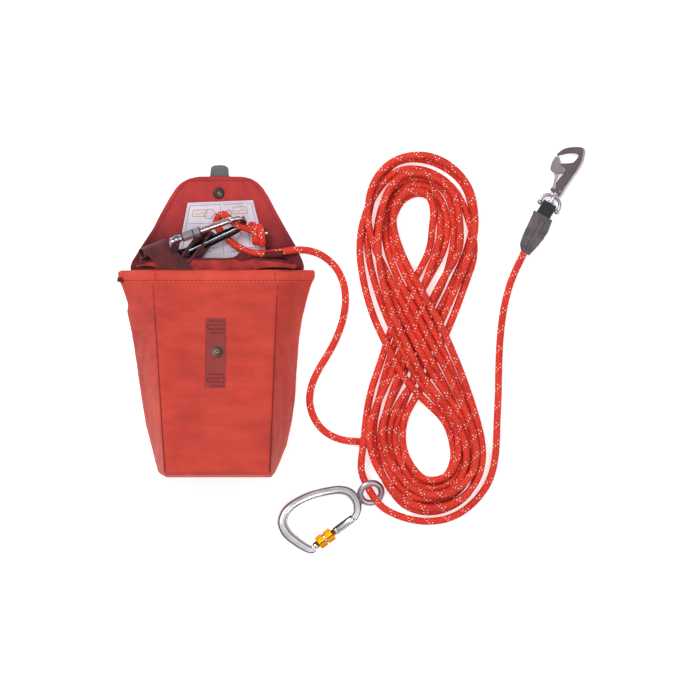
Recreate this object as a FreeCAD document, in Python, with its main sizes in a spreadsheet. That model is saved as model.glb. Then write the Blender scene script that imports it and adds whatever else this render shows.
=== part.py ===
import FreeCAD, Part
import math
import os
import re
import Sketcher

# Throw rope bag with its rope laid out beside it, in millimetres, +Z up from the floor.
# The bag lies on its back panel. Its mouth faces +Y and its base -Y, and the flap is folded
# open past the mouth. The origin is the bottom centre of the bag with its flap.

Vector = FreeCAD.Vector
Rotation = FreeCAD.Rotation
Placement = FreeCAD.Placement

DIMENSIONS = {
    # bag: a wedge, flat at the mouth and deep at the base
    "cloth": 2.4,
    "mouth_y": 55.0,
    "bag_length": 226.0,
    "mouth_half": 108.0,
    "base_half": 65.0,
    "front_mouth_half": 68.7,
    "front_base_half": 57.3,
    "front_mouth_z": 26.0,
    "front_base_z": 92.0,
    "gusset_wall": 3.5,
    "hem_depth": 13.0,
    "hem_thickness": 1.2,
    "hem_side": 2.0,
    "neck_half": 94.0,
    "neck_end_y": 65.2,
    "collar_tip_y": 67.0,
    "collar_root_y": 42.0,
    "collar_tip_half": 88.0,
    "collar_root_half": 72.0,
    "collar_tip_middle": 14.3,
    "collar_root_middle": 14.5,
    "collar_tip_height": 5.6,
    "collar_root_height": 10.0,
    "collar_wall": 1.2,
    "binding_depth": 3.5,
    "binding_stand": 0.5,
    "tab_width": 22.0,
    "tab_length": 75.0,
    "tab_thickness": 1.8,
    "tab_start": 55.0,
    "tab_offset": 0.9,
    "snap_x": 2.2,
    "stud_offset": 93.0,
    "stud_radius": 6.0,
    "stud_knob": 2.6,
    "rivet_radius": 6.5,
    "tag_length": 8.0,
    "tag_width": 4.0,
    "tag_thickness": 1.2,
    # flap
    "flap_shift": 3.0,
    "flap_root_y": 65.5,
    "flap_waist_y": 84.0,
    "flap_top_y": 158.5,
    "flap_root_half": 94.0,
    "flap_waist_half": 82.5,
    "flap_top_half": 44.0,
    "flap_corner": 13.0,
    "flap_shell": 2.2,
    "flap_lining": 0.8,
    "label_thickness": 0.4,
    "lining_inset": 3.0,
    "pull_half": 9.8,
    "pull_end_y": 171.0,
    "pull_thickness": 2.4,
    "socket_y": 140.6,
    "socket_radius": 6.0,
    "socket_hole": 3.1,
    "socket_height": 2.0,
    "cap_radius": 6.5,
    "cap_height": 0.9,
    "cap_recess": 1.0,
    # rope and fittings
    "rope_diameter": 8.0,
    "hank_height": 22.0,
    "hank_edge": 5.0,
    "knot_radius": 10.0,
    "knot_stretch": 1.3,
    "ring_major": 12.0,
    "ring_minor": 3.2,
    "ring_tilt": 24.6,
    "gate_length": 57.4,
    "frame_rod": 9.5,
    "gate_rod": 7.0,
    "gate_tongue": 4.0,
    "gate_pin": 1.5,
    "sleeve_radius": 7.2,
    "sleeve_length": 18.6,
    "sleeve_start": 11.0,
    "anchor_scale": 0.93,
    "anchor_width": 0.62,
    "anchor_rod": 8.36,
    "anchor_sleeve_radius": 5.0,
    "hook_thickness": 7.0,
    "hook_gate_thickness": 3.0,
    "hook_gate_half": 1.8,
    "hook_pivot_boss": 3.0,
    "hook_pin": 1.2,
    "hook_rivet": 1.1,
    "shackle_rod": 4.0,
    "shackle_half": 9.0,
    "shackle_boss": 3.0,
    "shackle_collar": 4.2,
    "bar_radius": 1.6,
    "post_radius": 3.4,
    "stem_radius": 1.8,
    "end_sleeve_height": 9.6,
    "end_sleeve_edge": 2.2,
    "end_loop_width": 12.6,
    "end_loop_gap": 0.5,
    "webbing": 2.0,
    "wide_strap": 28.0,
    "narrow_strap": 20.0,
}

# Clearances: a pin in the piece that turns on it, and a pin in the piece that holds it.
RUNNING_FIT = 0.05
HELD_FIT = 0.02

doc = FreeCAD.newDocument("throw_rope_bag")
sheet = doc.addObject("Spreadsheet::Sheet", "dims")
for row, (alias, number) in enumerate(DIMENSIONS.items(), start=1):
    sheet.set(f"A{row}", alias)
    sheet.set(f"B{row}", str(number))
    sheet.setAlias(f"B{row}", alias)
doc.recompute()

parts = []


def size(alias):
    return float(sheet.get(alias))


def bound(formula):
    """A formula of the sheet's aliases, as an expression of the document."""
    return re.sub(r"[a-z][a-z_]+", lambda found: "dims." + found.group(0), formula)


def bind(thing, **formulas):
    for name, formula in formulas.items():
        thing.setExpression(name, bound(formula))


def keep(thing, label, placement=None):
    """Take an object as a sub-part: its label names its file."""
    thing.Label = label
    if placement is not None:
        thing.Placement = placement
    parts.append(thing)
    return thing


# ---------------------------------------------------------------- sketches and features

def origin_plane(body, role):
    return next(plane for plane in body.Origin.OriginFeatures if plane.Role == role)


def polygon_sketch(body, role, corners, offset="0"):
    """A closed polygon whose corners are pairs of formulas, on one of the body's planes."""
    sketch = body.newObject("Sketcher::SketchObject", body.Name + "_outline")
    sketch.AttachmentSupport = [(origin_plane(body, role), "")]
    sketch.MapMode = "FlatFace"
    bind(sketch, **{"AttachmentOffset.Base.z": offset})
    count = len(corners)
    spots = []
    for index in range(count):
        angle = 2 * math.pi * index / count
        spots.append(Vector(50 * math.cos(angle), 50 * math.sin(angle), 0))
    for index in range(count):
        sketch.addGeometry(Part.LineSegment(spots[index], spots[(index + 1) % count]), False)
    for index in range(count):
        sketch.addConstraint(
            Sketcher.Constraint("Coincident", index, 2, (index + 1) % count, 1))
    for index, (across, along) in enumerate(corners):
        for kind, formula, start in (("DistanceX", across, spots[index].x),
                                     ("DistanceY", along, spots[index].y)):
            number = sketch.addConstraint(
                Sketcher.Constraint(kind, -1, 1, index, 1, start))
            sketch.setExpression(f"Constraints[{number}]", bound(formula))
    return sketch


def padded_polygon(label, corners, thickness, role="XY_Plane", offset="0"):
    body = doc.addObject("PartDesign::Body", label)
    sketch = polygon_sketch(body, role, corners, offset)
    pad = body.newObject("PartDesign::Pad", label + "_pad")
    pad.Profile = sketch
    bind(pad, Length=thickness)
    return body


def lofted_panel(label, mouth_section, mouth_place, base_section, base_place):
    """A thin panel between two sections that stand across the bag."""
    body = doc.addObject("PartDesign::Body", label)
    near = polygon_sketch(body, "XZ_Plane", mouth_section, mouth_place)
    far = polygon_sketch(body, "XZ_Plane", base_section, base_place)
    loft = body.newObject("PartDesign::AdditiveLoft", label + "_loft")
    loft.Profile = near
    loft.Sections = [far]
    loft.Ruled = True
    return body


def turned(label, profile):
    """A body of revolution about its own Z axis; the profile is radius and height."""
    body = doc.addObject("PartDesign::Body", label)
    sketch = polygon_sketch(body, "XZ_Plane", profile)
    revolution = body.newObject("PartDesign::Revolution", label + "_turn")
    revolution.Profile = sketch
    revolution.ReferenceAxis = (sketch, ["V_Axis"])
    revolution.Angle = 360
    return body


def cylinder(name, radius, height, placement):
    piece = doc.addObject("Part::Cylinder", name)
    bind(piece, Radius=radius, Height=height)
    piece.Placement = placement
    return piece


def block(name, length, width, height, placement):
    piece = doc.addObject("Part::Box", name)
    bind(piece, Length=length, Width=width, Height=height)
    piece.Placement = placement
    return piece


def shaped(label, shape, placement=None):
    """A piece whose shape is made here, where no sketch or primitive fits it."""
    feature = doc.addObject("Part::Feature", label)
    feature.Shape = shape
    return keep(feature, label, placement or Placement())


# ---------------------------------------------------------------- paths and tubes

def polyline_wire(points, radii):
    """Straight runs joined by tangent arcs of the given radii at the inner points."""
    edges = []
    start = points[0]
    for before, corner, after, radius in zip(points, points[1:], points[2:], radii):
        into = (before - corner).normalize()
        out = (after - corner).normalize()
        half_turn = (math.pi - into.getAngle(out)) / 2
        reach = radius * math.tan(half_turn)
        arc_start = corner + into * reach
        arc_end = corner + out * reach
        inward = (into + out).normalize()
        middle = corner + inward * (radius / math.cos(half_turn) - radius)
        if (arc_start - start).Length > 1e-6:
            edges.append(Part.LineSegment(start, arc_start).toShape())
        edges.append(Part.Arc(arc_start, middle, arc_end).toShape())
        start = arc_end
    edges.append(Part.LineSegment(start, points[-1]).toShape())
    return Part.Wire(edges)


def cord_radii(points):
    """The largest arc that each corner's two runs allow."""
    radii = []
    for before, corner, after in zip(points, points[1:], points[2:]):
        shorter = min((corner - before).Length, (after - corner).Length)
        half_turn = (math.pi - (before - corner).getAngle(after - corner)) / 2
        radii.append(0.45 * shorter / math.tan(half_turn))
    return radii


def tube(wire, radius):
    """A round bar along a path, with its volume checked against section times length."""
    first = wire.OrderedEdges[0]
    begin = first.valueAt(first.FirstParameter)
    ahead = first.tangentAt(first.FirstParameter)
    section = Part.Wire(Part.makeCircle(radius, begin, ahead))
    solid = wire.makePipeShell([section], True, True)
    expected = math.pi * radius ** 2 * wire.Length
    if abs(solid.Volume / expected - 1) > 0.01:
        raise RuntimeError(f"tube volume {solid.Volume:.0f}, expected {expected:.0f}")
    return solid


def cord(label, route):
    points = [Vector(*spot) for spot in route]
    radii = cord_radii(points)
    wire = polyline_wire(points, radii)
    runs = [(b - a).Length for a, b in zip(points, points[1:])]
    print(f"{label}: length {wire.Length:.0f}, runs {min(runs):.0f} to {max(runs):.0f}, radii",
          " ".join(f"{radius:.0f}" for radius in radii))
    return shaped(label, tube(wire, size("rope_diameter") / 2))


def rod(begin, end, radius):
    along = end - begin
    return Part.makeCylinder(radius, along.Length, begin, along)


def outline_solid(points, height):
    """A closed smooth curve through the points, raised to a flat-topped solid."""
    curve = Part.BSplineCurve()
    curve.interpolate([Vector(x, y, 0) for x, y in points], PeriodicFlag=True)
    return Part.Face(Part.Wire(curve.toShape())).extrude(Vector(0, 0, height))


def flat_plate(points, height):
    corners = [Vector(x, y, 0) for x, y in points]
    return Part.Face(Part.makePolygon(corners + corners[:1])).extrude(Vector(0, 0, height))


def band(profile, radii, width, thickness):
    """A strap: a path in the XZ plane with a thickness, as wide as given along Y."""
    wire = polyline_wire([Vector(x, 0, z) for x, z in profile], radii)
    first = wire.OrderedEdges[0]
    begin = first.valueAt(first.FirstParameter)
    ahead = first.tangentAt(first.FirstParameter)
    up = ahead.cross(Vector(0, 1, 0))
    corners = []
    for side, lift in ((-1, -1), (1, -1), (1, 1), (-1, 1)):
        corners.append(begin + Vector(0, side * width / 2, 0) + up * (lift * thickness / 2))
    section = Part.makePolygon(corners + corners[:1])
    return wire.makePipeShell([section], True, True)


# ---------------------------------------------------------------- bag

base_y = size("mouth_y") - size("bag_length")
slope = math.atan2(size("front_base_z") - size("front_mouth_z"),
                   size("bag_length") - size("cloth"))
BASE_PLACE = "bag_length - mouth_y - cloth"


def mirrored(section):
    """The same section on the bag's other side, still running the same way round."""
    return [(f"-({across})", along) for across, along in reversed(section)]


def make_panels():
    back = [("-base_half", "mouth_y - bag_length"), ("base_half", "mouth_y - bag_length"),
            ("mouth_half", "mouth_y"), ("neck_half", "mouth_y"), ("neck_half", "neck_end_y"),
            ("-neck_half", "neck_end_y"), ("-neck_half", "mouth_y"), ("-mouth_half", "mouth_y")]
    keep(padded_polygon("back_panel", back, "cloth"), "back_panel")

    def front(half, height):
        edge = f"{half} - gusset_wall"
        return [(f"-({edge})", f"{height} - cloth"), (edge, f"{height} - cloth"),
                (edge, height), (f"-({edge})", height)]

    keep(lofted_panel("front_panel", front("front_mouth_half", "front_mouth_z"), "-mouth_y",
                      front("front_base_half", "front_base_z"), BASE_PLACE), "front_panel")

    def gusset(back_half, front_half, height):
        return [(back_half, "cloth"), (front_half, height),
                (f"{front_half} - gusset_wall", height), (f"{back_half} - gusset_wall", "cloth")]

    at_mouth = gusset("mouth_half", "front_mouth_half", "front_mouth_z")
    at_base = gusset("base_half", "front_base_half", "front_base_z")
    keep(lofted_panel("right_gusset", at_mouth, "-mouth_y", at_base, BASE_PLACE), "right_gusset")
    keep(lofted_panel("left_gusset", mirrored(at_mouth), "-mouth_y",
                      mirrored(at_base), BASE_PLACE), "left_gusset")

    end = [("-base_half", "cloth"), ("base_half", "cloth"),
           ("front_base_half", "front_base_z"), ("-front_base_half", "front_base_z")]
    keep(padded_polygon("base_panel", end, "cloth", "XZ_Plane", BASE_PLACE), "base_panel")


def make_hem():
    """The folded edge: a skin over the gussets and front at the mouth."""
    def section(share):
        back_half = f"(mouth_half - (mouth_half - base_half) * {share})"
        front_half = f"(front_mouth_half - (front_mouth_half - front_base_half) * {share})"
        top = f"(front_mouth_z + (front_base_z - front_mouth_z) * {share})"
        outer = [(f"{back_half} + hem_side", "cloth"),
                 (f"{front_half} + hem_side / 2", f"{top} + hem_thickness")]
        inner = [(front_half, top), (back_half, "cloth")]
        return outer + mirrored(outer) + mirrored(inner) + inner

    depth = "hem_depth / (bag_length - cloth)"
    hem = lofted_panel("mouth_hem", section("0"), "-mouth_y",
                       section(depth), "hem_depth - mouth_y")
    keep(hem, "mouth_hem")


def ellipse_loft(stations):
    """A solid through ellipses that stand across the bag: y, half width, middle and half height."""
    wires = []
    for y, half_width, middle, half_height in stations:
        centre = Vector(0, y, middle)
        curve = Part.Ellipse(centre + Vector(half_width, 0, 0), centre + Vector(0, 0, half_height),
                             centre)
        wires.append(Part.Wire(curve.toShape()))
    return Part.makeLoft(wires, True, True)


def make_collar():
    """The inner skirt, a flattened tube of cloth, and the tape bound over its edge."""
    wall = size("collar_wall")
    tip, root = size("collar_tip_y"), size("collar_root_y")
    tip_half, root_half = size("collar_tip_half"), size("collar_root_half")
    tip_middle, root_middle = size("collar_tip_middle"), size("collar_root_middle")
    tip_height, root_height = size("collar_tip_height"), size("collar_root_height")
    stand = size("binding_stand")
    outer = [(root, root_half, root_middle, root_height), (tip, tip_half, tip_middle, tip_height)]
    inner = [(y, half - wall, middle, height - wall) for y, half, middle, height in outer]
    skirt = ellipse_loft(outer).cut(ellipse_loft(inner))
    start = tip - size("binding_depth")
    share = (start - root) / (tip - root)
    start_half = root_half + (tip_half - root_half) * share
    start_height = root_height + (tip_height - root_height) * share
    tape_outer = [(start, start_half + stand, tip_middle, start_height + stand),
                  (tip + stand, tip_half + stand, tip_middle, tip_height + stand)]
    tape_inner = [(y, half - wall - 2 * stand, middle, height - wall - 2 * stand)
                  for y, half, middle, height in tape_outer]
    tape = ellipse_loft(tape_outer).cut(ellipse_loft(tape_inner))
    shaped("inner_collar", skirt.cut(tape))
    shaped("collar_binding", tape)


def on_front(x, down_slope, lift):
    """A place on the front panel's outer face, measured down it from the mouth."""
    turn = Rotation(Vector(1, 0, 0), -math.degrees(slope))
    start = Vector(0, size("mouth_y"), size("front_mouth_z"))
    return Placement(start + turn.multVec(Vector(x, -down_slope, lift)), turn)


def make_front_fittings():
    """The webbing tab with the snap stud on it, the rivet behind, and the seam tag."""
    start = size("tab_start")
    tab = block("front_webbing_tab", "tab_width", "tab_length", "tab_thickness",
                on_front(-size("tab_width") / 2 - size("tab_offset"),
                         start + size("tab_length"), 0))
    keep(tab, "front_webbing_tab")
    thickness = size("tab_thickness")
    stud = turned("snap_stud", [("0", "0"), ("stud_radius", "0"), ("stud_radius", "0.8"),
                                ("stud_knob", "1.0"), ("stud_knob", "3.0"), ("0", "3.0")])
    keep(stud, "snap_stud", on_front(size("snap_x"), size("stud_offset"), thickness))
    rivet = cylinder("stud_rivet", "rivet_radius", "1",
                     on_front(size("snap_x"), size("stud_offset"), -size("cloth") - 1))
    keep(rivet, "stud_rivet")
    tag = block("side_tag", "tag_length", "tag_width", "tag_thickness",
                Placement(Vector(-110, 43, 3.9), Rotation()))
    keep(tag, "side_tag")


# ---------------------------------------------------------------- flap

def flap_outline(inset):
    def corner(side, half, y):
        return (f"flap_shift {side} ({half} - {inset})", y)

    ends = [("flap_root_half", f"flap_root_y + {inset}"), ("flap_waist_half", "flap_waist_y"),
            ("flap_top_half", f"flap_top_y - {inset}")]
    right = [corner("+", half, y) for half, y in ends]
    left = [corner("-", half, y) for half, y in reversed(ends)]
    return right + left


def round_top_corners(body, radius):
    """Rounds the flap's two far corners."""
    doc.recompute()
    top_y = max(vertex.Point.y for vertex in body.Shape.Vertexes)
    names = []
    for number, edge in enumerate(body.Shape.Edges, start=1):
        ends = [vertex.Point for vertex in edge.Vertexes]
        upright = abs(ends[0].z - ends[-1].z) > 0.1
        if upright and min(point.y for point in ends) > top_y - 0.01:
            names.append(f"Edge{number}")
    blank = body.Tip
    fillet = body.newObject("PartDesign::Fillet", body.Name + "_corners")
    fillet.Base = (blank, names)
    bind(fillet, Radius=radius)


def make_flap():
    shell = padded_polygon("flap_shell", flap_outline("0"), "flap_shell")
    round_top_corners(shell, "flap_corner")
    cut_recess(shell, "cap_radius + 0.1", "cap_recess")
    keep(shell, "flap_shell")

    lining = padded_polygon("flap_lining", flap_outline("lining_inset"), "flap_lining",
                            offset="flap_shell")
    round_top_corners(lining, "flap_corner - lining_inset")
    keep(lining, "flap_lining")

    label = [("-46", "72"), ("54", "74"), ("39.8", "132.6"), ("-31.7", "129.8")]
    sheet_of_label = padded_polygon("instruction_label", label, "label_thickness",
                                    offset="flap_shell + flap_lining")
    keep(sheet_of_label, "instruction_label")

    pull = [("flap_shift - pull_half", "flap_top_y"), ("flap_shift + pull_half", "flap_top_y"),
            ("flap_shift + pull_half", "pull_end_y"), ("flap_shift - pull_half", "pull_end_y")]
    tab = padded_polygon("pull_tab", pull, "pull_thickness")
    keep(tab, "pull_tab")

    spot = Vector(size("snap_x"), size("socket_y"), size("flap_shell") + size("flap_lining"))
    socket = turned("snap_socket", [("socket_hole", "0"), ("socket_radius", "0"),
                                    ("socket_radius", "0.8"), ("5", "socket_height"),
                                    ("socket_hole", "socket_height")])
    keep(socket, "snap_socket", Placement(spot, Rotation()))
    cap = cylinder("snap_cap", "cap_radius", "cap_height",
                   Placement(Vector(spot.x, spot.y, 0), Rotation()))
    keep(cap, "snap_cap")


def cut_recess(body, radius, depth):
    """A round recess in the underside of the flap, for the snap's cap."""
    sketch = body.newObject("Sketcher::SketchObject", body.Name + "_recess")
    sketch.AttachmentSupport = [(origin_plane(body, "XY_Plane"), "")]
    sketch.MapMode = "FlatFace"
    centre = Vector(size("snap_x"), size("socket_y"), 0)
    sketch.addGeometry(Part.Circle(centre, Vector(0, 0, 1), 6.6), False)
    across = sketch.addConstraint(Sketcher.Constraint("DistanceX", -1, 1, 0, 3, centre.x))
    along = sketch.addConstraint(Sketcher.Constraint("DistanceY", -1, 1, 0, 3, centre.y))
    wide = sketch.addConstraint(Sketcher.Constraint("Radius", 0, 6.6))
    sketch.setExpression(f"Constraints[{across}]", bound("snap_x"))
    sketch.setExpression(f"Constraints[{along}]", bound("socket_y"))
    sketch.setExpression(f"Constraints[{wide}]", bound(radius))
    doc.recompute()
    before = body.Shape.Volume
    pocket = body.newObject("PartDesign::Pocket", body.Name + "_recess_cut")
    pocket.Profile = sketch
    bind(pocket, Length=depth)
    pocket.Reversed = True
    doc.recompute()
    if before - body.Shape.Volume < 100:
        raise RuntimeError("the cap's recess removes nothing")


# ---------------------------------------------------------------- rope

RING_CENTRE = Vector(169.4, -188.8, 8.2)
RING_ALONG = Vector(0.4825, -0.876, 0).normalize()

# From the knot, over the anchor carabiner's spine, round behind its gate and back under the
# spine; then over the flap's root, off its edge and in an S to the hank.
LEAD_ROUTE = [
    (38.0, 99.2, 19.5), (29.5, 102.6, 25.5), (20.5, 106.4, 28.8), (13.0, 113.0, 26.0),
    (5.5, 117.6, 19.0), (-1.8, 115.6, 12.0), (-4.6, 108.6, 8.4), (-1.5, 100.5, 8.0),
    (8.5, 92.6, 8.0), (20.5, 84.2, 8.0), (33.0, 77.6, 8.3), (48.0, 74.9, 8.6), (64.0, 75.6, 8.6),
    (80.5, 78.0, 8.6), (97.0, 78.4, 8.0), (111.3, 74.8, 5.8), (123.4, 67.1, 4.4),
    (133.3, 56.1, 4.0), (139.9, 40.7, 4.0), (142.1, 23.1, 4.0), (139.4, 3.3, 4.0),
    (133.3, -15.4, 4.0), (123.4, -35.2, 4.0), (111.3, -53.9, 4.0), (103.6, -71.5, 4.0),
    (101.4, -89.1, 4.0), (105.8, -105.6, 4.0), (115.7, -119.8, 4.0), (130.0, -128.6, 4.0),
    (145.4, -132.2, 4.0), (158.0, -132.6, 4.0),
]

# From the hank's left side, over the ring's near rim and under its far rim, along the hank's
# foot and up its right side to the sleeve.
TAIL_ROUTE = [
    (161.0, -137.0, 12.0), (158.6, -153.0, 14.2), (158.6, -169.0, 14.2), (176.4, -201.3, 4.1),
    (193.5, -211.8, 4.0), (212.5, -218.4, 4.0), (232.0, -220.8, 4.0), (253.2, -218.2, 4.0),
    (271.9, -209.0, 4.0), (287.8, -194.6, 4.0), (299.0, -178.0, 4.0), (304.9, -159.7, 4.0),
    (307.4, -138.0, 4.0), (308.0, -111.0, 4.0), (309.5, -81.0, 4.0), (309.9, -50.0, 4.0),
    (311.2, -20.0, 4.0), (314.3, 7.7, 4.0), (319.2, 30.7, 4.0), (325.8, 52.0, 4.3),
    (335.2, 71.8, 4.8),
]

# The hank's outer edge, clockwise from its top, and its two eyes.
HANK_EDGE = [
    (223.5, 185.0), (258.0, 168.0), (285.0, 146.0), (296.5, 108.0), (295.0, 80.0),
    (280.0, 37.0), (271.5, 6.0), (262.5, -22.0), (276.5, -64.0), (288.0, -98.0),
    (293.5, -135.0), (290.0, -166.0), (272.0, -192.0), (247.0, -206.0), (220.0, -206.0),
    (203.0, -196.0), (187.0, -178.0), (172.0, -166.0), (158.5, -144.0), (153.5, -120.0),
    (156.0, -100.0), (168.0, -72.0), (181.0, -50.0), (175.0, -24.0), (169.0, 2.0),
    (160.5, 36.0), (152.5, 76.0), (156.5, 112.0), (170.0, 148.0), (184.0, 168.0),
    (203.0, 178.5),
]
UPPER_EYE = [
    (223.5, 134.0), (201.5, 117.0), (200.0, 104.0), (209.5, 72.0), (216.0, 55.0),
    (231.5, 81.0), (232.5, 110.0), (229.0, 131.0),
]
LOWER_EYE = [
    (231.5, -94.0), (212.0, -118.5), (210.0, -138.0), (217.0, -157.5), (232.5, -171.5),
    (250.0, -166.0), (258.0, -151.5), (258.5, -135.0), (256.0, -119.0), (239.5, -101.0),
]


def make_rope():
    cord("rope_lead", LEAD_ROUTE)
    cord("rope_tail", TAIL_ROUTE)
    height = size("hank_height")
    solid = outline_solid(HANK_EDGE, height)
    rims = [edge for edge in solid.Edges if edge.isClosed()]
    solid = solid.makeFillet(size("hank_edge"), rims)
    for eye in (UPPER_EYE, LOWER_EYE):
        solid = solid.cut(outline_solid(eye, height))
    shaped("rope_hank", solid)
    knot = Part.makeSphere(size("knot_radius"), Vector(0, 0, 0))
    stretch = FreeCAD.Matrix()
    stretch.scale(1.0, size("knot_stretch"), 1.0)
    place = Placement(Vector(44.2, 93.5, 14.2), Rotation())
    shaped("stopper_knot", knot.transformGeometry(stretch), place)


def make_ring():
    across = RING_ALONG.cross(Vector(0, 0, 1))
    ring = doc.addObject("Part::Torus", "rope_ring")
    bind(ring, Radius1="ring_major", Radius2="ring_minor")
    turn = Rotation(across, size("ring_tilt"))
    keep(ring, "rope_ring", Placement(RING_CENTRE, turn))


# ---------------------------------------------------------------- straps on the line

def make_straps():
    thickness = size("webbing")
    narrow = size("narrow_strap")
    # wide strap: a flattened loop with its fold away from the mouth
    wide = band([(0, 23.6), (24.0, 23.6), (24.0, 5.0), (9.5, 5.0)], [7.0, 7.0],
                size("wide_strap"), thickness)
    heading = Rotation(Vector(0, 0, 1), 121)
    shaped("anchor_strap", wide, Placement(Vector(-48.5, 63.5, 0), heading))
    # narrow loop: out from the collar, round the anchor carabiner's spine and back
    loop = band([(0, 7.0), (21.0, 7.0), (25.0, 19.5), (0, 18.5)], [5.0, 6.0], narrow, thickness)
    heading = Rotation(Vector(0, 0, 1), 59)
    shaped("carabiner_loop", loop, Placement(Vector(-17.8, 74.5, 0), heading))
    # keeper: a short band over the rope
    arch = band([(0, 5.0), (0.5, 14.6), (15.5, 14.6), (16.0, 5.0)], [3.5, 3.5], narrow, thickness)
    heading = Rotation(Vector(0, 0, 1), 90)
    shaped("rope_keeper", arch, Placement(Vector(63.0, 69.2, 0), heading))


# ---------------------------------------------------------------- carabiners

# The frame's path in its own plane: x from the nose to the gate's pin, y towards the spine.
FRAME_CORNERS = [(0, 0), (-12, 20), (-14, 54), (71, 34), (69, 8), (size("gate_length"), 0)]
FRAME_RADII = [10, 16, 13, 7]


def make_carabiner(prefix, place, scale, width, rod_diameter, sleeve_radius):
    """Frame, gate, pin and screw sleeve, all in the frame's own plane and then placed."""
    points = [Vector(x * scale, y * scale * width, 0) for x, y in FRAME_CORNERS]
    radii = [radius * scale * min(width * 1.15, 1) for radius in FRAME_RADII]
    frame = tube(polyline_wire(points, radii), rod_diameter / 2)
    frame = frame.fuse(Part.makeSphere(rod_diameter / 2, points[-1]))
    pin_x = points[-1].x
    tongue = size("gate_tongue") * scale
    slot = tongue + 2 * RUNNING_FIT
    reach = rod_diameter / 2 + 2.6
    frame = frame.cut(Part.makeBox(reach + rod_diameter, 2 * reach, slot,
                                   Vector(pin_x - reach, -reach, -slot / 2)))
    pin_radius = size("gate_pin") * scale
    bore = Part.makeCylinder(pin_radius + HELD_FIT, rod_diameter * 2, Vector(pin_x, 0, -rod_diameter))
    shaped(prefix + "_frame", frame.cut(bore), place)

    gate_radius = size("gate_rod") / 2 * scale
    nose_gap = rod_diameter / 2 + 0.3
    rod_end = pin_x - rod_diameter / 2 - 1.2
    gate = rod(Vector(nose_gap, 0, 0), Vector(rod_end, 0, 0), gate_radius)
    arm = Part.makeBox(pin_x - rod_end + 2, gate_radius * 1.7, tongue,
                       Vector(rod_end - 2, -gate_radius * 0.85, -tongue / 2))
    round_end = Part.makeCylinder(gate_radius * 0.85, tongue, Vector(pin_x, 0, -tongue / 2))
    gate = gate.fuse([arm, round_end])
    hole = Part.makeCylinder(pin_radius + RUNNING_FIT, rod_diameter * 2,
                             Vector(pin_x, 0, -rod_diameter))
    shaped(prefix + "_gate", gate.cut(hole), place)

    pin = Part.makeCylinder(pin_radius, rod_diameter - 1.4, Vector(pin_x, 0, 0.7 - rod_diameter / 2))
    shaped(prefix + "_gate_pin", pin, place)

    start = size("sleeve_start") * scale
    length = size("sleeve_length") * scale
    outer = sleeve_radius * scale
    sleeve = rod(Vector(start, 0, 0), Vector(start + length, 0, 0), outer)
    sleeve = sleeve.makeChamfer(0.8, sleeve.Edges)
    inside = rod(Vector(start - 1, 0, 0), Vector(start + length + 1, 0, 0),
                 gate_radius + RUNNING_FIT)
    shaped(prefix + "_sleeve", sleeve.cut(inside), place)


def frame_axes(along, spine):
    """A rotation whose x is the given direction and whose y points towards the spine."""
    up = along.cross(spine)
    return Rotation(along, spine, up, "XYZ")


def make_carabiners():
    lean = math.radians(3.0)
    along = Vector(0.805, 0.593, 0).normalize()
    sideways = Vector(-along.y, along.x, 0)
    spine = sideways * math.cos(lean) - Vector(0, 0, math.sin(lean))
    lock_place = Placement(Vector(103.1, -250.8, 7.35), frame_axes(along, spine))
    make_carabiner("lock_carabiner", lock_place, 1.0, 1.0, size("frame_rod"),
                   size("sleeve_radius"))

    lean = math.radians(58.0)
    along = Vector(0.942, 0.336, 0).normalize()
    sideways = Vector(along.y, -along.x, 0)
    spine = sideways * math.cos(lean) - Vector(0, 0, math.sin(lean))
    anchor_place = Placement(Vector(-35.6, 91.1, 38.4), frame_axes(along, spine))
    make_carabiner("anchor_carabiner", anchor_place, size("anchor_scale"), size("anchor_width"),
                   size("anchor_rod"), size("anchor_sleeve_radius"))


# ---------------------------------------------------------------- rope end and hook clip

CLIP_ALONG = Vector(0.51, 0.86, 0).normalize()
CLIP_BAR = Vector(364.3, 125.4, 4.6)

# In the clip's own plane: x from the shackle's bar to the hook's head, y towards its gate.
HOOK_EDGE = [
    (17, -6), (30, -8), (55, -10.2), (68, -8.5), (75.4, -2), (75, 8), (68, 16.5), (58, 21.5),
    (52.5, 20), (51.5, 14.5), (58, 12), (62.5, 6), (61.5, 0), (55, -3), (43, -3.2), (31, -1.5),
    (27, 3), (26.5, 8), (22, 10), (17, 7),
]
GATE_PIVOT = (21.9, 5.0)
GATE_TIP = (49.8, 15.3)


def clip_place():
    """The clip's own frame: its origin at the middle of the shackle's bar."""
    side = Vector(-CLIP_ALONG.y, CLIP_ALONG.x, 0)
    turn = Rotation(CLIP_ALONG, side, Vector(0, 0, 1), "XYZ")
    return Placement(CLIP_BAR, turn)


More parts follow.
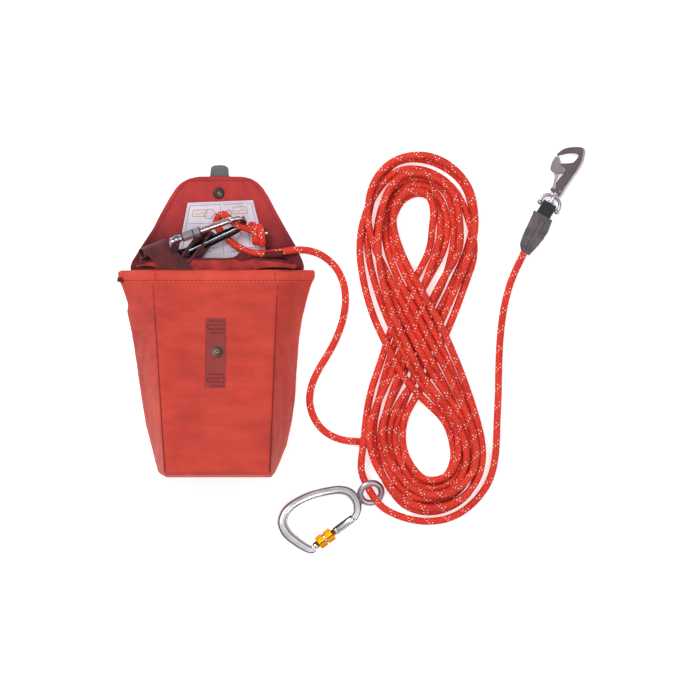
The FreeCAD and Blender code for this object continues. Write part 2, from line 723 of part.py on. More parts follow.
def make_rope_end():
    """The folded grey sleeve on the rope's end and the webbing loop sewn into it."""
    corners = [(336.6, 72.0), (346.2, 74.6), (357.7, 87.4), (368.6, 111.0), (351.5, 121.0),
               (338.4, 97.0), (334.0, 80.0)]
    sleeve = flat_plate(corners, size("end_sleeve_height"))
    rims = [edge for edge in sleeve.Edges
            if abs(edge.Vertexes[0].Z - edge.Vertexes[-1].Z) < 0.1]
    sleeve = sleeve.makeFillet(size("end_sleeve_edge"), rims)
    shaped("end_sleeve", sleeve, Placement(Vector(0, 0, 0.1), Rotation()))
    # the loop goes round the shackle's bar, clear of it all round
    eye_radius = size("shackle_rod") / 2 + size("end_loop_gap")
    outer = eye_radius + size("webbing")
    width = size("end_loop_width")
    side = Vector(0, -width / 2, 0)
    loop = Part.makeCylinder(outer, width, side, Vector(0, 1, 0))
    legs = Part.makeBox(13.0, width, 2 * outer, side + Vector(-13.0, 0, -outer))
    eye = Part.makeCylinder(eye_radius, width, side, Vector(0, 1, 0))
    gap = Part.makeBox(6.0, width, 2 * eye_radius, side + Vector(-6.0, 0, -eye_radius))
    shaped("end_webbing_loop", loop.fuse(legs).cut(eye.fuse(gap)), clip_place())


def make_clip():
    rod_radius = size("shackle_rod") / 2
    half = size("shackle_half")
    bow_points = [Vector(0, half, 0), Vector(10.0, half, 0), Vector(10.0, -half, 0),
                  Vector(0, -half, 0)]
    bow = tube(polyline_wire(bow_points, [5.5, 5.5]), rod_radius)
    for side in (-1, 1):
        bow = bow.fuse(Part.makeSphere(size("shackle_boss"), Vector(0, side * half, 0)))
    collar = rod(Vector(7.7, 0, 0), Vector(12.4, 0, 0), size("shackle_collar"))
    post_radius = size("post_radius")
    stem_radius = size("stem_radius")
    bar_radius = size("bar_radius")
    post_hole = rod(Vector(0, 0, 0), Vector(20, 0, 0), stem_radius + RUNNING_FIT)
    bar_hole = rod(Vector(0, -20, 0), Vector(0, 20, 0), bar_radius)
    bow = bow.fuse(collar).cut(post_hole).cut(bar_hole)
    shaped("clip_shackle", bow, clip_place())
    bar = rod(Vector(0, -half - 2.6, 0), Vector(0, half + 2.6, 0), bar_radius)
    shaped("shackle_bar", bar, clip_place())

    head = rod(Vector(5.4, 0, 0), Vector(7.4, 0, 0), post_radius)
    stem = rod(Vector(7.4, 0, 0), Vector(17.0, 0, 0), stem_radius)
    foot = rod(Vector(12.7, 0, 0), Vector(17.0, 0, 0), post_radius)
    shaped("swivel_post", head.fuse([stem, foot]), clip_place())

    height = size("hook_thickness")
    down = -height / 2
    body = flat_plate(HOOK_EDGE, height)
    body.translate(Vector(0, 0, down))
    tongue = size("hook_gate_thickness")
    pivot = Vector(GATE_PIVOT[0], GATE_PIVOT[1], 0)
    slot = tongue + 2 * RUNNING_FIT
    room = Part.makeCylinder(5.6, slot, pivot + Vector(0, 0, -slot / 2))
    pin_radius = size("hook_pin")
    rivet_radius = size("hook_rivet")
    pin_hole = Part.makeCylinder(pin_radius + HELD_FIT, height * 2, pivot + Vector(0, 0, -height))
    rivet_spots = [Vector(21.0, -2.6, 0), Vector(27.0, -4.6, 0)]
    body = body.cut([room, pin_hole])
    rivets = []
    for spot in rivet_spots:
        rivet = Part.makeCylinder(rivet_radius, height + 0.4, spot + Vector(0, 0, down - 0.2))
        body = body.cut(Part.makeCylinder(rivet_radius, height * 2, spot + Vector(0, 0, -height)))
        rivets.append(rivet)
    shaped("clip_hook", body, clip_place())
    shaped("hook_rivets", Part.makeCompound(rivets), clip_place())

    tip = Vector(GATE_TIP[0], GATE_TIP[1], 0)
    heading = (tip - pivot).normalize()
    side = Vector(-heading.y, heading.x, 0)
    half_bar = size("hook_gate_half")
    outline = [pivot - side * half_bar, tip - side * half_bar, tip + side * half_bar,
               pivot + side * half_bar]
    bar = flat_plate([(spot.x, spot.y) for spot in outline], tongue)
    bar = bar.fuse(Part.makeCylinder(size("hook_pivot_boss"), tongue, pivot))
    bar.translate(Vector(0, 0, -tongue / 2))
    bar = bar.cut(Part.makeCylinder(pin_radius + RUNNING_FIT, height * 2,
                                    pivot + Vector(0, 0, -height)))
    pad_start = pivot + heading * 12.0 + side * half_bar
    pad_end = pivot + heading * 27.0 + side * half_bar
    pad = flat_plate([(spot.x, spot.y) for spot in
                      (pad_start, pad_end, pad_end + side * 3.0, pad_start + side * 4.4)], 6.0)
    pad.translate(Vector(0, 0, -3.0))
    shaped("hook_gate", bar, clip_place())
    shaped("hook_gate_pad", pad, clip_place())
    pin = Part.makeCylinder(pin_radius, height, pivot + Vector(0, 0, down))
    shaped("hook_gate_pin", pin, clip_place())


# ---------------------------------------------------------------- build, check and write

make_panels()
make_hem()
make_collar()
make_front_fittings()
make_flap()
make_rope()
make_ring()
make_straps()
make_carabiners()
make_rope_end()
make_clip()
doc.recompute()

for thing in doc.Objects:
    if "Invalid" in thing.State or "Error" in thing.State:
        raise RuntimeError(f"{thing.Name} failed: {thing.State}")
os.makedirs("parts", exist_ok=True)
for part in parts:
    if part.Shape.isNull() or not part.Shape.isValid():
        raise RuntimeError(f"{part.Label} has no valid shape")
    part.Shape.exportStep(f"parts/{part.Label}.step")
print(len(parts), "parts written")
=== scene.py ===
import math

import bpy
import numpy as np
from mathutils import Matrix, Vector, noise
from mathutils.geometry import tessellate_polygon


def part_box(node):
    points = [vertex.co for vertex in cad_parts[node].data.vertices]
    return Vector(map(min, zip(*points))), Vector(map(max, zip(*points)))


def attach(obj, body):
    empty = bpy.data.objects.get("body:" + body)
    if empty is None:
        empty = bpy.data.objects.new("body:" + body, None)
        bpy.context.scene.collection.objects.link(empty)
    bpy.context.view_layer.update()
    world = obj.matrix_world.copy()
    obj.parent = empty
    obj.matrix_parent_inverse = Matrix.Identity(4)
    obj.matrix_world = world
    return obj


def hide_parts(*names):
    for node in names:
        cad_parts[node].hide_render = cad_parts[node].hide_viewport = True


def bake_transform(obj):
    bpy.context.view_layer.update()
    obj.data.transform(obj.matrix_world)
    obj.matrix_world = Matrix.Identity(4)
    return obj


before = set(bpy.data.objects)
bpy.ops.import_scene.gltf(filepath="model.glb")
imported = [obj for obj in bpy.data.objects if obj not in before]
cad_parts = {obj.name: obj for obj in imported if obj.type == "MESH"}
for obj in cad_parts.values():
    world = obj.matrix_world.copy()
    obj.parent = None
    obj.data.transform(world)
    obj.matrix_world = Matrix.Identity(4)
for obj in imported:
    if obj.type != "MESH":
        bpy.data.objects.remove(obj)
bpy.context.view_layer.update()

MM = 0.001
ROPE_RADIUS = 4.0
HANK_TURNS = 8
FULL_TURN = 2 * math.pi

BAR_SIDES = 28
# The end of the rope: the hook clip's bar, the clip's way from there, and the bar's own direction.
BAR_PLACE = np.array([364.3, 125.4, 4.6])
CLIP_WAY = np.array([0.51, 0.86, 0.0])
CLIP_SIDE = np.array([-0.86, 0.51, 0.0])

# The free rope's route, in millimetres. It follows the CAD's rope closely, not exactly.
LEAD_ROUTE = [
    (38.0, 99.2, 19.5), (29.5, 102.6, 25.5), (20.5, 106.4, 28.8), (13.0, 113.0, 26.0), (8.5, 117.2, 19.5),
    (2.2, 115.2, 12.5), (-0.6, 108.2, 8.6), (2.0, 100.3, 8.0), (10.5, 91.6, 8.0), (21.5, 82.2, 8.0),
    (33.5, 75.6, 8.3), (48.0, 73.3, 8.6), (64.0, 74.6, 8.6), (80.5, 77.6, 8.6), (97.0, 78.4, 8.0),
    (111.3, 74.8, 5.8), (123.4, 67.1, 4.4), (133.3, 56.1, 4.0), (139.9, 40.7, 4.0), (142.1, 23.1, 4.0),
    (139.4, 3.3, 4.0), (133.3, -15.4, 4.0), (123.4, -35.2, 4.0), (111.3, -53.9, 4.0), (103.6, -71.5, 4.0),
    (101.4, -89.1, 4.0), (105.8, -105.6, 4.0), (115.7, -119.8, 4.0), (130.0, -128.6, 4.0),
    (145.4, -132.2, 4.0), (158.0, -132.6, 4.0),
]
TAIL_ROUTE = [
    (161.0, -137.0, 12.0), (158.6, -153.0, 14.2), (158.6, -169.0, 14.2), (176.4, -201.3, 4.1),
    (193.5, -211.8, 4.0), (212.5, -218.4, 4.0), (232.0, -220.8, 4.0), (253.2, -218.2, 4.0),
    (271.9, -209.0, 4.0), (287.8, -194.6, 4.0), (299.0, -178.0, 4.0), (304.9, -159.7, 4.0),
    (307.4, -138.0, 4.0), (308.0, -111.0, 4.0), (309.5, -81.0, 4.0), (309.9, -50.0, 4.0),
    (311.2, -20.0, 4.0), (314.3, 7.7, 4.0), (319.2, 30.7, 4.0), (326.2, 52.0, 4.3), (338.8, 77.2, 4.8),
]
# The hank's band as it is wound: its right and left edge in the direction of travel, and how far
# the band lies above the floor, at each place round the figure of eight.
HANK_BAND = [
    ((153.5, -120.0), (210.0, -125.0), 0.0),
    ((163.0, -156.0), (212.0, -146.0), 0.0),
    ((180.0, -189.0), (220.0, -160.5), 0.0),
    ((204.0, -212.5), (228.0, -169.5), 0.0),
    ((240.0, -218.5), (240.0, -170.5), 0.0),
    ((279.0, -203.0), (250.0, -165.0), 0.0),
    ((298.0, -171.0), (257.5, -150.0), 0.0),
    ((298.0, -135.0), (258.5, -134.0), 0.0),
    ((288.0, -98.0), (251.0, -112.0), 1.0),
    ((277.5, -64.0), (228.0, -92.0), 6.0),
    ((267.0, -32.0), (205.0, -68.0), 12.0),
    ((250.0, 1.5), (187.0, -33.5), 14.0),
    ((233.0, 34.0), (171.0, 0.0), 12.0),
    ((215.0, 62.0), (160.5, 36.0), 6.0),
    ((203.0, 90.0), (152.5, 76.0), 0.0),
    ((200.5, 110.0), (153.5, 115.0), 0.0),
    ((206.0, 126.0), (166.0, 156.5), 0.0),
    ((216.0, 134.5), (195.0, 188.0), 0.0),
    ((228.5, 133.5), (244.0, 189.0), 0.0),
    ((232.5, 121.0), (287.0, 157.0), 0.0),
    ((233.0, 101.0), (301.0, 109.0), 0.0),
    ((230.0, 80.0), (298.0, 73.0), 0.0),
    ((217.0, 56.0), (283.5, 35.0), 0.0),
    ((202.0, 26.0), (267.0, -4.0), 0.0),
    ((188.0, -8.0), (253.0, -34.0), 0.0),
    ((176.0, -44.0), (239.0, -70.0), 0.0),
    ((163.0, -82.0), (218.0, -103.0), 0.0),
]
# Turns that change places in the band: the two turns, and from and to which place round it.
HANK_SWAPS = (
    (0, 2, 14.6, 20.0), (3, 4, 15.4, 22.0), (6, 7, 15.6, 18.6), (1, 2, 21.0, 25.2), (5, 6, 22.2, 25.6),
    (3, 5, 1.6, 5.2), (0, 1, 2.4, 6.4), (6, 7, 2.0, 6.0), (2, 4, 7.4, 13.8),
)


def linear(colour):
    """An sRGB colour given as three numbers from 0 to 255, as a linear RGBA."""
    return tuple(
        part / 255 / 12.92 if part / 255 <= 0.04045 else ((part / 255 + 0.055) / 1.055) ** 2.4
        for part in colour
    ) + (1.0,)


# ---------------------------------------------------------------- camera, light and floor
SKY_STRENGTH = 0.95
FLOOR_GLOW = 0.5
FLOOR_GAP = 0.0004


def make_camera():
    data = bpy.data.cameras.new("camera")
    data.lens = 200.0
    data.sensor_width = 36.0
    data.clip_end = 20.0
    camera = bpy.data.objects.new("camera", data)
    camera.location = (0.1465, -0.0319, 4.278)
    bpy.context.scene.collection.objects.link(camera)
    bpy.context.scene.camera = camera


def area_light(name, place, target, size, power):
    data = bpy.data.lights.new(name, "AREA")
    data.shape = "DISK"
    data.size = size
    data.energy = power
    light = bpy.data.objects.new(name, data)
    light.location = place
    light.rotation_euler = (Vector(target) - Vector(place)).to_track_quat("-Z", "Y").to_euler()
    bpy.context.scene.collection.objects.link(light)


def make_studio():
    world = bpy.data.worlds.new("studio")
    world.use_nodes = True
    tree = world.node_tree
    background = tree.nodes["Background"]
    way = node(tree, "ShaderNodeTexCoord").outputs["Generated"]
    split = node(tree, "ShaderNodeSeparateXYZ", {0: way})
    sky = ramp(tree, split.outputs[2], [(0.0, 0.16), (0.42, 0.30), (0.8, 0.86), (1.0, 1.0)])
    tree.links.new(sky, background.inputs["Color"])
    background.inputs["Strength"].default_value = SKY_STRENGTH
    bpy.context.scene.world = world
    bpy.context.scene.view_settings.view_transform = "Standard"
    centre = (0.14, -0.03, 0.0)
    area_light("key_light", (-0.9, 1.1, 2.1), centre, size=1.1, power=34.0)
    area_light("fill_light", (1.5, -0.9, 1.8), centre, size=1.6, power=9.0)
    mesh = bpy.data.meshes.new("floor")
    reach = 4.0
    corners = [(-reach, -reach, 0.0), (reach, -reach, 0.0), (reach, reach, 0.0), (-reach, reach, 0.0)]
    mesh.from_pydata(corners, [], [(0, 1, 2, 3)])
    floor = bpy.data.objects.new("floor", mesh)
    bpy.context.scene.collection.objects.link(floor)
    floor.location.z = -FLOOR_GAP
    material, tree, shader = new_material("floor_white")
    shader.inputs["Base Color"].default_value = (0.93, 0.93, 0.93, 1.0)
    shader.inputs["Roughness"].default_value = 0.9
    shader.inputs["Emission Color"].default_value = (1.0, 1.0, 1.0, 1.0)
    shader.inputs["Emission Strength"].default_value = FLOOR_GLOW
    floor.data.materials.append(material)


# ---------------------------------------------------------------- material helpers
def new_material(name):
    material = bpy.data.materials.new(name)
    material.use_nodes = True
    tree = material.node_tree
    return material, tree, tree.nodes["Principled BSDF"]


def set_socket(tree, socket, value):
    """Links value to the socket if value is a socket itself, and sets it there if not."""
    if isinstance(value, bpy.types.NodeSocket):
        tree.links.new(value, socket)
    else:
        socket.default_value = value


def node(tree, kind, inputs=None, **settings):
    made = tree.nodes.new(kind)
    for key, value in settings.items():
        setattr(made, key, value)
    for key, value in (inputs or {}).items():
        set_socket(tree, made.inputs[key], value)
    return made


def maths(tree, operation, first, second=0.0):
    return node(tree, "ShaderNodeMath", {0: first, 1: second}, operation=operation).outputs[0]


def ramp(tree, factor, stops):
    """A colour ramp. stops are pairs of a position and an sRGB colour or a grey from 0 to 1."""
    made = node(tree, "ShaderNodeValToRGB", {"Fac": factor})
    elements = made.color_ramp.elements
    while len(elements) < len(stops):
        elements.new(0.5)
    for element, (place, colour) in zip(elements, stops):
        element.position = place
        element.color = linear(colour) if isinstance(colour, tuple) else (colour,) * 3 + (1.0,)
    return made.outputs["Color"]


def mix(tree, factor, first, second, blend_type="MIX"):
    made = node(tree, "ShaderNodeMix", data_type="RGBA", blend_type=blend_type)
    for index, value in ((0, factor), (6, first), (7, second)):
        set_socket(tree, made.inputs[index], value)
    return made.outputs[2]


def position(tree):
    return node(tree, "ShaderNodeTexCoord").outputs["Object"]


def cloud(tree, size_mm, detail=3.0, vector=None):
    """Soft noise from 0 to 1, its blotches about size_mm across."""
    inputs = {"Vector": vector or position(tree), "Scale": 1.0 / (size_mm * MM), "Detail": detail}
    return node(tree, "ShaderNodeTexNoise", inputs).outputs["Fac"]


def surface_axes(tree):
    """The distance along and across a piece in metres, from its UV map."""
    split = node(tree, "ShaderNodeSeparateXYZ", {0: node(tree, "ShaderNodeUVMap").outputs[0]})
    return split.outputs[0], split.outputs[1]


def wave(tree, distance, pitch_mm):
    """A smooth wave from -1 to 1 with that pitch."""
    return maths(tree, "SINE", maths(tree, "MULTIPLY", distance, FULL_TURN / (pitch_mm * MM)))


def bump(tree, shader, height, depth_mm, strength, normal=None):
    inputs = {"Height": height, "Distance": depth_mm * MM, "Strength": strength}
    if normal is not None:
        inputs["Normal"] = normal
    made = node(tree, "ShaderNodeBump", inputs)
    tree.links.new(made.outputs[0], shader.inputs["Normal"])
    return made.outputs[0]


def fabric(name, light, dark, weave_mm=0.9, weave_depth=0.08, blotch_mm=60.0, roughness=0.68, sheen=0.04,
           crease_depth=0.5, fold_shade=0.05, shading=None, stretch=(1.0, 0.3, 0.7)):
    """A woven cloth: plain weave in the UV map's axes, uneven dye, creases, and painted shade along folds
    and in the weave. shading is where, in Y and millimetres, the cloth goes from dark to light: painted
    shade."""
    material, tree, shader = new_material(name)
    along, across = surface_axes(tree)
    weave = maths(tree, "MULTIPLY", wave(tree, along, weave_mm), wave(tree, across, weave_mm))
    dye_and_shade = cloud(tree, blotch_mm, 4.0)
    # Painted shade: with shading, the tone darkens towards start in Y.
    if shading:
        start, stop = shading
        far = node(tree, "ShaderNodeSeparateXYZ", {0: position(tree)}).outputs[1]
        past = maths(tree, "SUBTRACT", far, start * MM)
        rise = maths(tree, "DIVIDE", past, (stop - start) * MM)
        dye_and_shade = maths(tree, "ADD", maths(tree, "MULTIPLY", dye_and_shade, 0.45), maths(tree, "MULTIPLY", rise, 0.55))
    fine = cloud(tree, 2.2, 2.0)
    tone = ramp(tree, dye_and_shade, [(0.3, dark), (0.7, light)])
    tone = mix(tree, 0.35, tone, ramp(tree, fine, [(0.3, 0.40), (0.7, 0.58)]), "OVERLAY")
    # Painted shade along the folds: stretched noise darkens and lightens the tone in long streaks.
    stretched = node(tree, "ShaderNodeVectorMath", {0: position(tree), 1: stretch}, operation="MULTIPLY")
    fold_shade_noise = cloud(tree, 11.0, 5.0, stretched.outputs[0])
    folds = ramp(tree, fold_shade_noise, [(0.3, 0.5 - fold_shade), (0.7, 0.5 + 0.6 * fold_shade)])
    tone = mix(tree, 0.6, tone, folds, "OVERLAY")
    # Painted shade in the weave: the hollows between the threads are darker.
    weave_shade = ramp(tree, maths(tree, "MULTIPLY_ADD", weave, 0.5), [(0.0, 0.40), (1.0, 0.56)])
    tone = mix(tree, 0.25, tone, weave_shade, "OVERLAY")
    tree.links.new(tone, shader.inputs["Base Color"])
    rough = ramp(tree, fine, [(0.2, roughness - 0.08), (0.8, roughness + 0.1)])
    tree.links.new(rough, shader.inputs["Roughness"])
    shader.inputs["Specular IOR Level"].default_value = 0.3
    shader.inputs["Sheen Weight"].default_value = sheen
    shader.inputs["Sheen Roughness"].default_value = 0.4
    creases = bump(tree, shader, cloud(tree, 20.0, 5.0), crease_depth, 0.6)
    bump(tree, shader, weave, weave_depth, 0.8, creases)
    return material


def webbing(name, light, dark, rib_mm=2.3, depth=0.3, sheen=0.25):
    """A woven strap with ribs along its length and a fine cross weave."""
    material, tree, shader = new_material(name)
    along, across = surface_axes(tree)
    ribs = wave(tree, across, rib_mm)
    weft = maths(tree, "MULTIPLY", wave(tree, along, 1.1), ribs)
    height = maths(tree, "ADD", ribs, maths(tree, "MULTIPLY", weft, 0.5))
    tone = ramp(tree, cloud(tree, 18.0, 4.0), [(0.3, dark), (0.7, light)])
    shade = ramp(tree, maths(tree, "MULTIPLY_ADD", height, 0.33), [(0.0, 0.34), (1.0, 0.58)])
    tree.links.new(mix(tree, 0.7, tone, shade, "OVERLAY"), shader.inputs["Base Color"])
    shader.inputs["Roughness"].default_value = 0.6
    shader.inputs["Sheen Weight"].default_value = sheen
    bump(tree, shader, height, depth, 0.8)
    return material


def metal(name, colour, roughness=0.25, spread=0.1, metallic=1.0):
    """A metal with fine scratches and slight wear."""
    material, tree, shader = new_material(name)
    grain = cloud(tree, 0.6, 4.0)
    smudge = cloud(tree, 14.0, 3.0)
    dark = tuple(part * 0.86 for part in colour)
    tree.links.new(ramp(tree, smudge, [(0.3, dark), (0.65, colour)]), shader.inputs["Base Color"])
    stops = [(0.25, max(roughness - spread, 0.04)), (0.75, roughness + spread)]
    tree.links.new(ramp(tree, grain, stops), shader.inputs["Roughness"])
    shader.inputs["Metallic"].default_value = metallic
    bump(tree, shader, grain, 0.006, 0.3)
    return material


def rope_material():
    """A braided sheath: yarns of two families over and under each other, with pale and dark tracers, and
    painted shade between the yarns.
    """
    material, tree, shader = new_material("braided_rope")
    along, around = surface_axes(tree)
    yarns = 10.0
    braid_pitch = 0.021
    turn = maths(tree, "MULTIPLY", along, yarns / braid_pitch)
    round_way = maths(tree, "MULTIPLY", around, yarns)
    right = maths(tree, "ADD", turn, round_way)
    left = maths(tree, "SUBTRACT", turn, round_way)
    right_cell = maths(tree, "FLOOR", right)
    left_cell = maths(tree, "FLOOR", left)
    right_part = maths(tree, "FRACT", right)
    left_part = maths(tree, "FRACT", left)
    both = maths(tree, "ADD", right_cell, left_cell)
    over = maths(tree, "LESS_THAN", maths(tree, "FLOORED_MODULO", both, 2.0), 0.5)
    under = maths(tree, "SUBTRACT", 1.0, over)
    right_dome = maths(tree, "SINE", maths(tree, "MULTIPLY", right_part, math.pi))
    left_dome = maths(tree, "SINE", maths(tree, "MULTIPLY", left_part, math.pi))
    right_height = maths(tree, "MULTIPLY", over, right_dome)
    left_height = maths(tree, "MULTIPLY", under, left_dome)
    height = maths(tree, "ADD", right_height, left_height)

    def tracer(cell, top, numbers):
        """1 on the yarns with these numbers, where they are on top."""
        number = maths(tree, "FLOORED_MODULO", cell, yarns)
        found = maths(tree, "COMPARE", number, numbers[0])
        for wanted in numbers[1:]:
            found = maths(tree, "MAXIMUM", found, maths(tree, "COMPARE", number, wanted))
        return maths(tree, "MULTIPLY", found, top)

    red = ramp(tree, cloud(tree, 22.0, 3.0), [(0.3, (212, 50, 36)), (0.7, (236, 67, 46))])
    # Painted shade: the colour darkens where the braid is low, between the yarns.
    deep = ramp(tree, height, [(0.0, 0.2), (0.55, 0.5), (1.0, 0.56)])
    red = mix(tree, 0.7, red, deep, "OVERLAY")
    dome = maths(tree, "MULTIPLY", right_dome, left_dome)
    pale_core = maths(tree, "GREATER_THAN", dome, 0.34)
    dark_core = maths(tree, "GREATER_THAN", dome, 0.32)
    every_other = maths(tree, "LESS_THAN", maths(tree, "FLOORED_MODULO", left_cell, 4.0), 1.5)
    second = maths(tree, "MULTIPLY", tracer(right_cell, over, (3.0,)), every_other)
    pale = maths(tree, "MAXIMUM", tracer(right_cell, over, (1.0,)), second)
    pale = maths(tree, "MULTIPLY", maths(tree, "MULTIPLY", pale, pale_core), 0.9)
    dark = maths(tree, "MULTIPLY", tracer(left_cell, under, (0.0, 2.0, 5.0, 7.0)), dark_core)
    colour = mix(tree, pale, red, linear((255, 232, 220)))
    colour = mix(tree, maths(tree, "MULTIPLY", dark, 0.65), colour, linear((58, 8, 12)))
    tree.links.new(colour, shader.inputs["Base Color"])
    shader.inputs["Roughness"].default_value = 0.6
    shader.inputs["Specular IOR Level"].default_value = 0.25
    bump(tree, shader, height, 0.25, 0.6)
    return material


# ---------------------------------------------------------------- mesh helpers
def add_piece(name, mesh, finish, body, replaces=(), smooth=True):
    """Adds a mesh as a piece. finish names one finish or several, the first of them for most faces."""
    mesh.name = name
    piece = bpy.data.objects.new(name, mesh)
    bpy.context.scene.collection.objects.link(piece)
    for key in finish.split():
        mesh.materials.append(finishes[key])
    if smooth:
        mesh.shade_smooth()
    if replaces:
        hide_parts(*replaces)
    if body:
        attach(piece, body)
    return piece


def mesh_from(points, faces, uvs=None):
    """points in metres. uvs has one pair per corner of every face, in the faces' order."""
    mesh = bpy.data.meshes.new("piece")
    mesh.from_pydata([tuple(map(float, point)) for point in points], [], faces)
    if uvs is not None:
        layer = mesh.uv_layers.new(name="UVMap")
        layer.data.foreach_set("uv", np.asarray(uvs, np.float32).ravel())
    mesh.validate()
    return mesh


def mark_faces(piece, which):
    """Gives every face the finish whose number which returns for the face's number."""
    for number, polygon in enumerate(piece.data.polygons):
        polygon.material_index = int(which(number))


def box_middle(box):
    """The centre of a part's box and the height of its top, in millimetres."""
    low, high = np.array(box[0]) / MM, np.array(box[1]) / MM
    return (low + high) / 2, high[2]


def running_length(points):
    """The distance along a chain of points, at each of them."""
    return np.concatenate([[0.0], np.cumsum(np.linalg.norm(np.diff(points, axis=0), axis=1))])


def turn_angles(sides):
    return [FULL_TURN * index / sides for index in range(sides)]


def ring_faces(rings, sides, base=0):
    """The quads between rings of points that follow each other, the first point being number base."""
    faces = []
    for start in range(base, base + (rings - 1) * sides, sides):
        for index in range(sides):
            after = (index + 1) % sides
            faces.append((start + index, start + after, start + sides + after, start + sides + index))
    return faces


def end_faces(rings, sides, base=0):
    """The two faces that close the first and the last ring."""
    last = base + (rings - 1) * sides
    return [tuple(range(base, base + sides))[::-1], tuple(range(last, last + sides))]


def ring_uvs(down, around):
    """The quads' UVs, from the distance at each ring and at each step round it."""
    uvs = []
    for near, far in zip(down, down[1:]):
        for low, high in zip(around, around[1:]):
            uvs += [(near, low), (near, high), (far, high), (far, low)]
    return uvs


def blank_uvs(faces):
    return [(0.0, 0.0)] * sum(len(face) for face in faces)


def smooth_noise(x, y, seed, size):
    return noise.noise(Vector((x / size, y / size, seed)))


def table(pairs, value):
    return float(np.interp(value, [pair[0] for pair in pairs], [pair[1] for pair in pairs]))


def clamp(value):
    return min(max(value, 0.0), 1.0)


def soft_line(points, steps):
    """Points along a smooth curve through a chain of points, in millimetres."""
    points = np.array(points, float)
    chain = np.vstack([2 * points[0] - points[1], points, 2 * points[-1] - points[-2]])
    line = []
    for index in range(1, len(chain) - 2):
        a, b, c, d = chain[index - 1: index + 3]
        for t in np.linspace(0.0, 1.0, steps, endpoint=False):
            curve = (2 * a - 5 * b + 4 * c - d) * t ** 2 + (3 * b - a - 3 * c + d) * t ** 3
            line.append(0.5 * (2 * b + (c - a) * t + curve))
    line.append(points[-1])
    return np.array(line)


def flat_line(pairs, steps):
    """A smooth curve in the XY plane through pairs of x and y."""
    return soft_line([(x, y, 0.0) for x, y in pairs], steps)


def straight_line(corners, steps):
    """Points from corner to corner, with that many steps between two corners."""
    corners = np.array(corners, float)
    parts = [np.linspace(first, second, steps + 1)[:-1] for first, second in zip(corners, corners[1:])]
    return np.concatenate(parts + [corners[-1:]])


def tube_along(path, radius, sides):
    """A tube that follows path (in metres), with the distance along it and the share of a turn as UVs."""
    path = np.asarray(path, float)
    steps = np.linalg.norm(np.diff(path, axis=0), axis=1)
    path = path[np.concatenate([[True], steps > 1e-6])]
    ways = np.gradient(path, axis=0)
    ways /= np.linalg.norm(ways, axis=1)[:, None]
    side = np.cross(ways[0], (0.0, 0.0, 1.0))
    side /= np.linalg.norm(side)
    points = []
    for place, way in zip(path, ways):
        side = side - way * side.dot(way)
        side /= np.linalg.norm(side)
        up = np.cross(side, way)
        for angle in turn_angles(sides):
            points.append(place + radius * (math.cos(angle) * side + math.sin(angle) * up))
    distance = running_length(path)
    faces = ring_faces(len(path), sides) + end_faces(len(path), sides)
    uvs = ring_uvs(distance, [index / sides for index in range(sides + 1)])
    uvs += [(0.0, 0.0)] * sides + [(distance[-1], 0.0)] * sides
    return mesh_from(points, faces, uvs)


def slab(grid, thickness, relief=None, edge=0.4):
    """A closed sheet with its middle on grid (rows by columns by 3, in millimetres). relief is added to its
    upper side. The UV map has the distances along the rows and the columns in metres."""
    grid = np.asarray(grid, float)
    rows, columns = grid.shape[:2]
    normal = np.cross(np.gradient(grid, axis=0), np.gradient(grid, axis=1))
    normal /= np.maximum(np.linalg.norm(normal, axis=2), 1e-9)[:, :, None]
    half = thickness / 2
    upper = grid + normal * (half + (0.0 if relief is None else relief[:, :, None]))
    lower = grid - normal * half
    down = running_length(grid[:, columns // 2]) * MM
    over = running_length(grid[rows // 2]) * MM
    border = (
        [(0, c) for c in range(columns)]
        + [(r, columns - 1) for r in range(1, rows)]
        + [(rows - 1, c) for c in range(columns - 2, -1, -1)]
        + [(r, 0) for r in range(rows - 2, 0, -1)]
    )
    rim = []
    for r, c in border:
        out = grid[r, c] - grid[min(max(r, 1), rows - 2), min(max(c, 1), columns - 2)]
        length = np.linalg.norm(out)
        bulge = out / length * thickness * edge if length > 1e-6 else 0.0
        rim.append(0.5 * (upper[r, c] + lower[r, c]) + bulge)
    points = np.concatenate([upper.reshape(-1, 3), lower.reshape(-1, 3), np.array(rim)]) * MM

    def uv(r, c):
        return down[r], over[c]

    faces, uvs = [], []
    below = rows * columns
    for r in range(rows - 1):
        for c in range(columns - 1):
            here, beside = r * columns + c, r * columns + c + 1
            after, across = here + columns, beside + columns
            faces.append((here, after, across, beside))
            uvs += [uv(r, c), uv(r + 1, c), uv(r + 1, c + 1), uv(r, c + 1)]
            faces.append((below + here, below + beside, below + across, below + after))
            uvs += [uv(r, c), uv(r, c + 1), uv(r + 1, c + 1), uv(r + 1, c)]
    first_rim = 2 * below
    for index, (r, c) in enumerate(border):
        following = (index + 1) % len(border)
        next_r, next_c = border[following]
        here, beside = r * columns + c, next_r * columns + next_c
        rim_here, rim_beside = first_rim + index, first_rim + following
        faces.append((here, beside, rim_beside, rim_here))
        faces.append((rim_here, rim_beside, below + beside, below + here))
        uvs += [uv(r, c), uv(next_r, next_c), uv(next_r, next_c), uv(r, c)] * 2
    return mesh_from(points, faces, uvs)


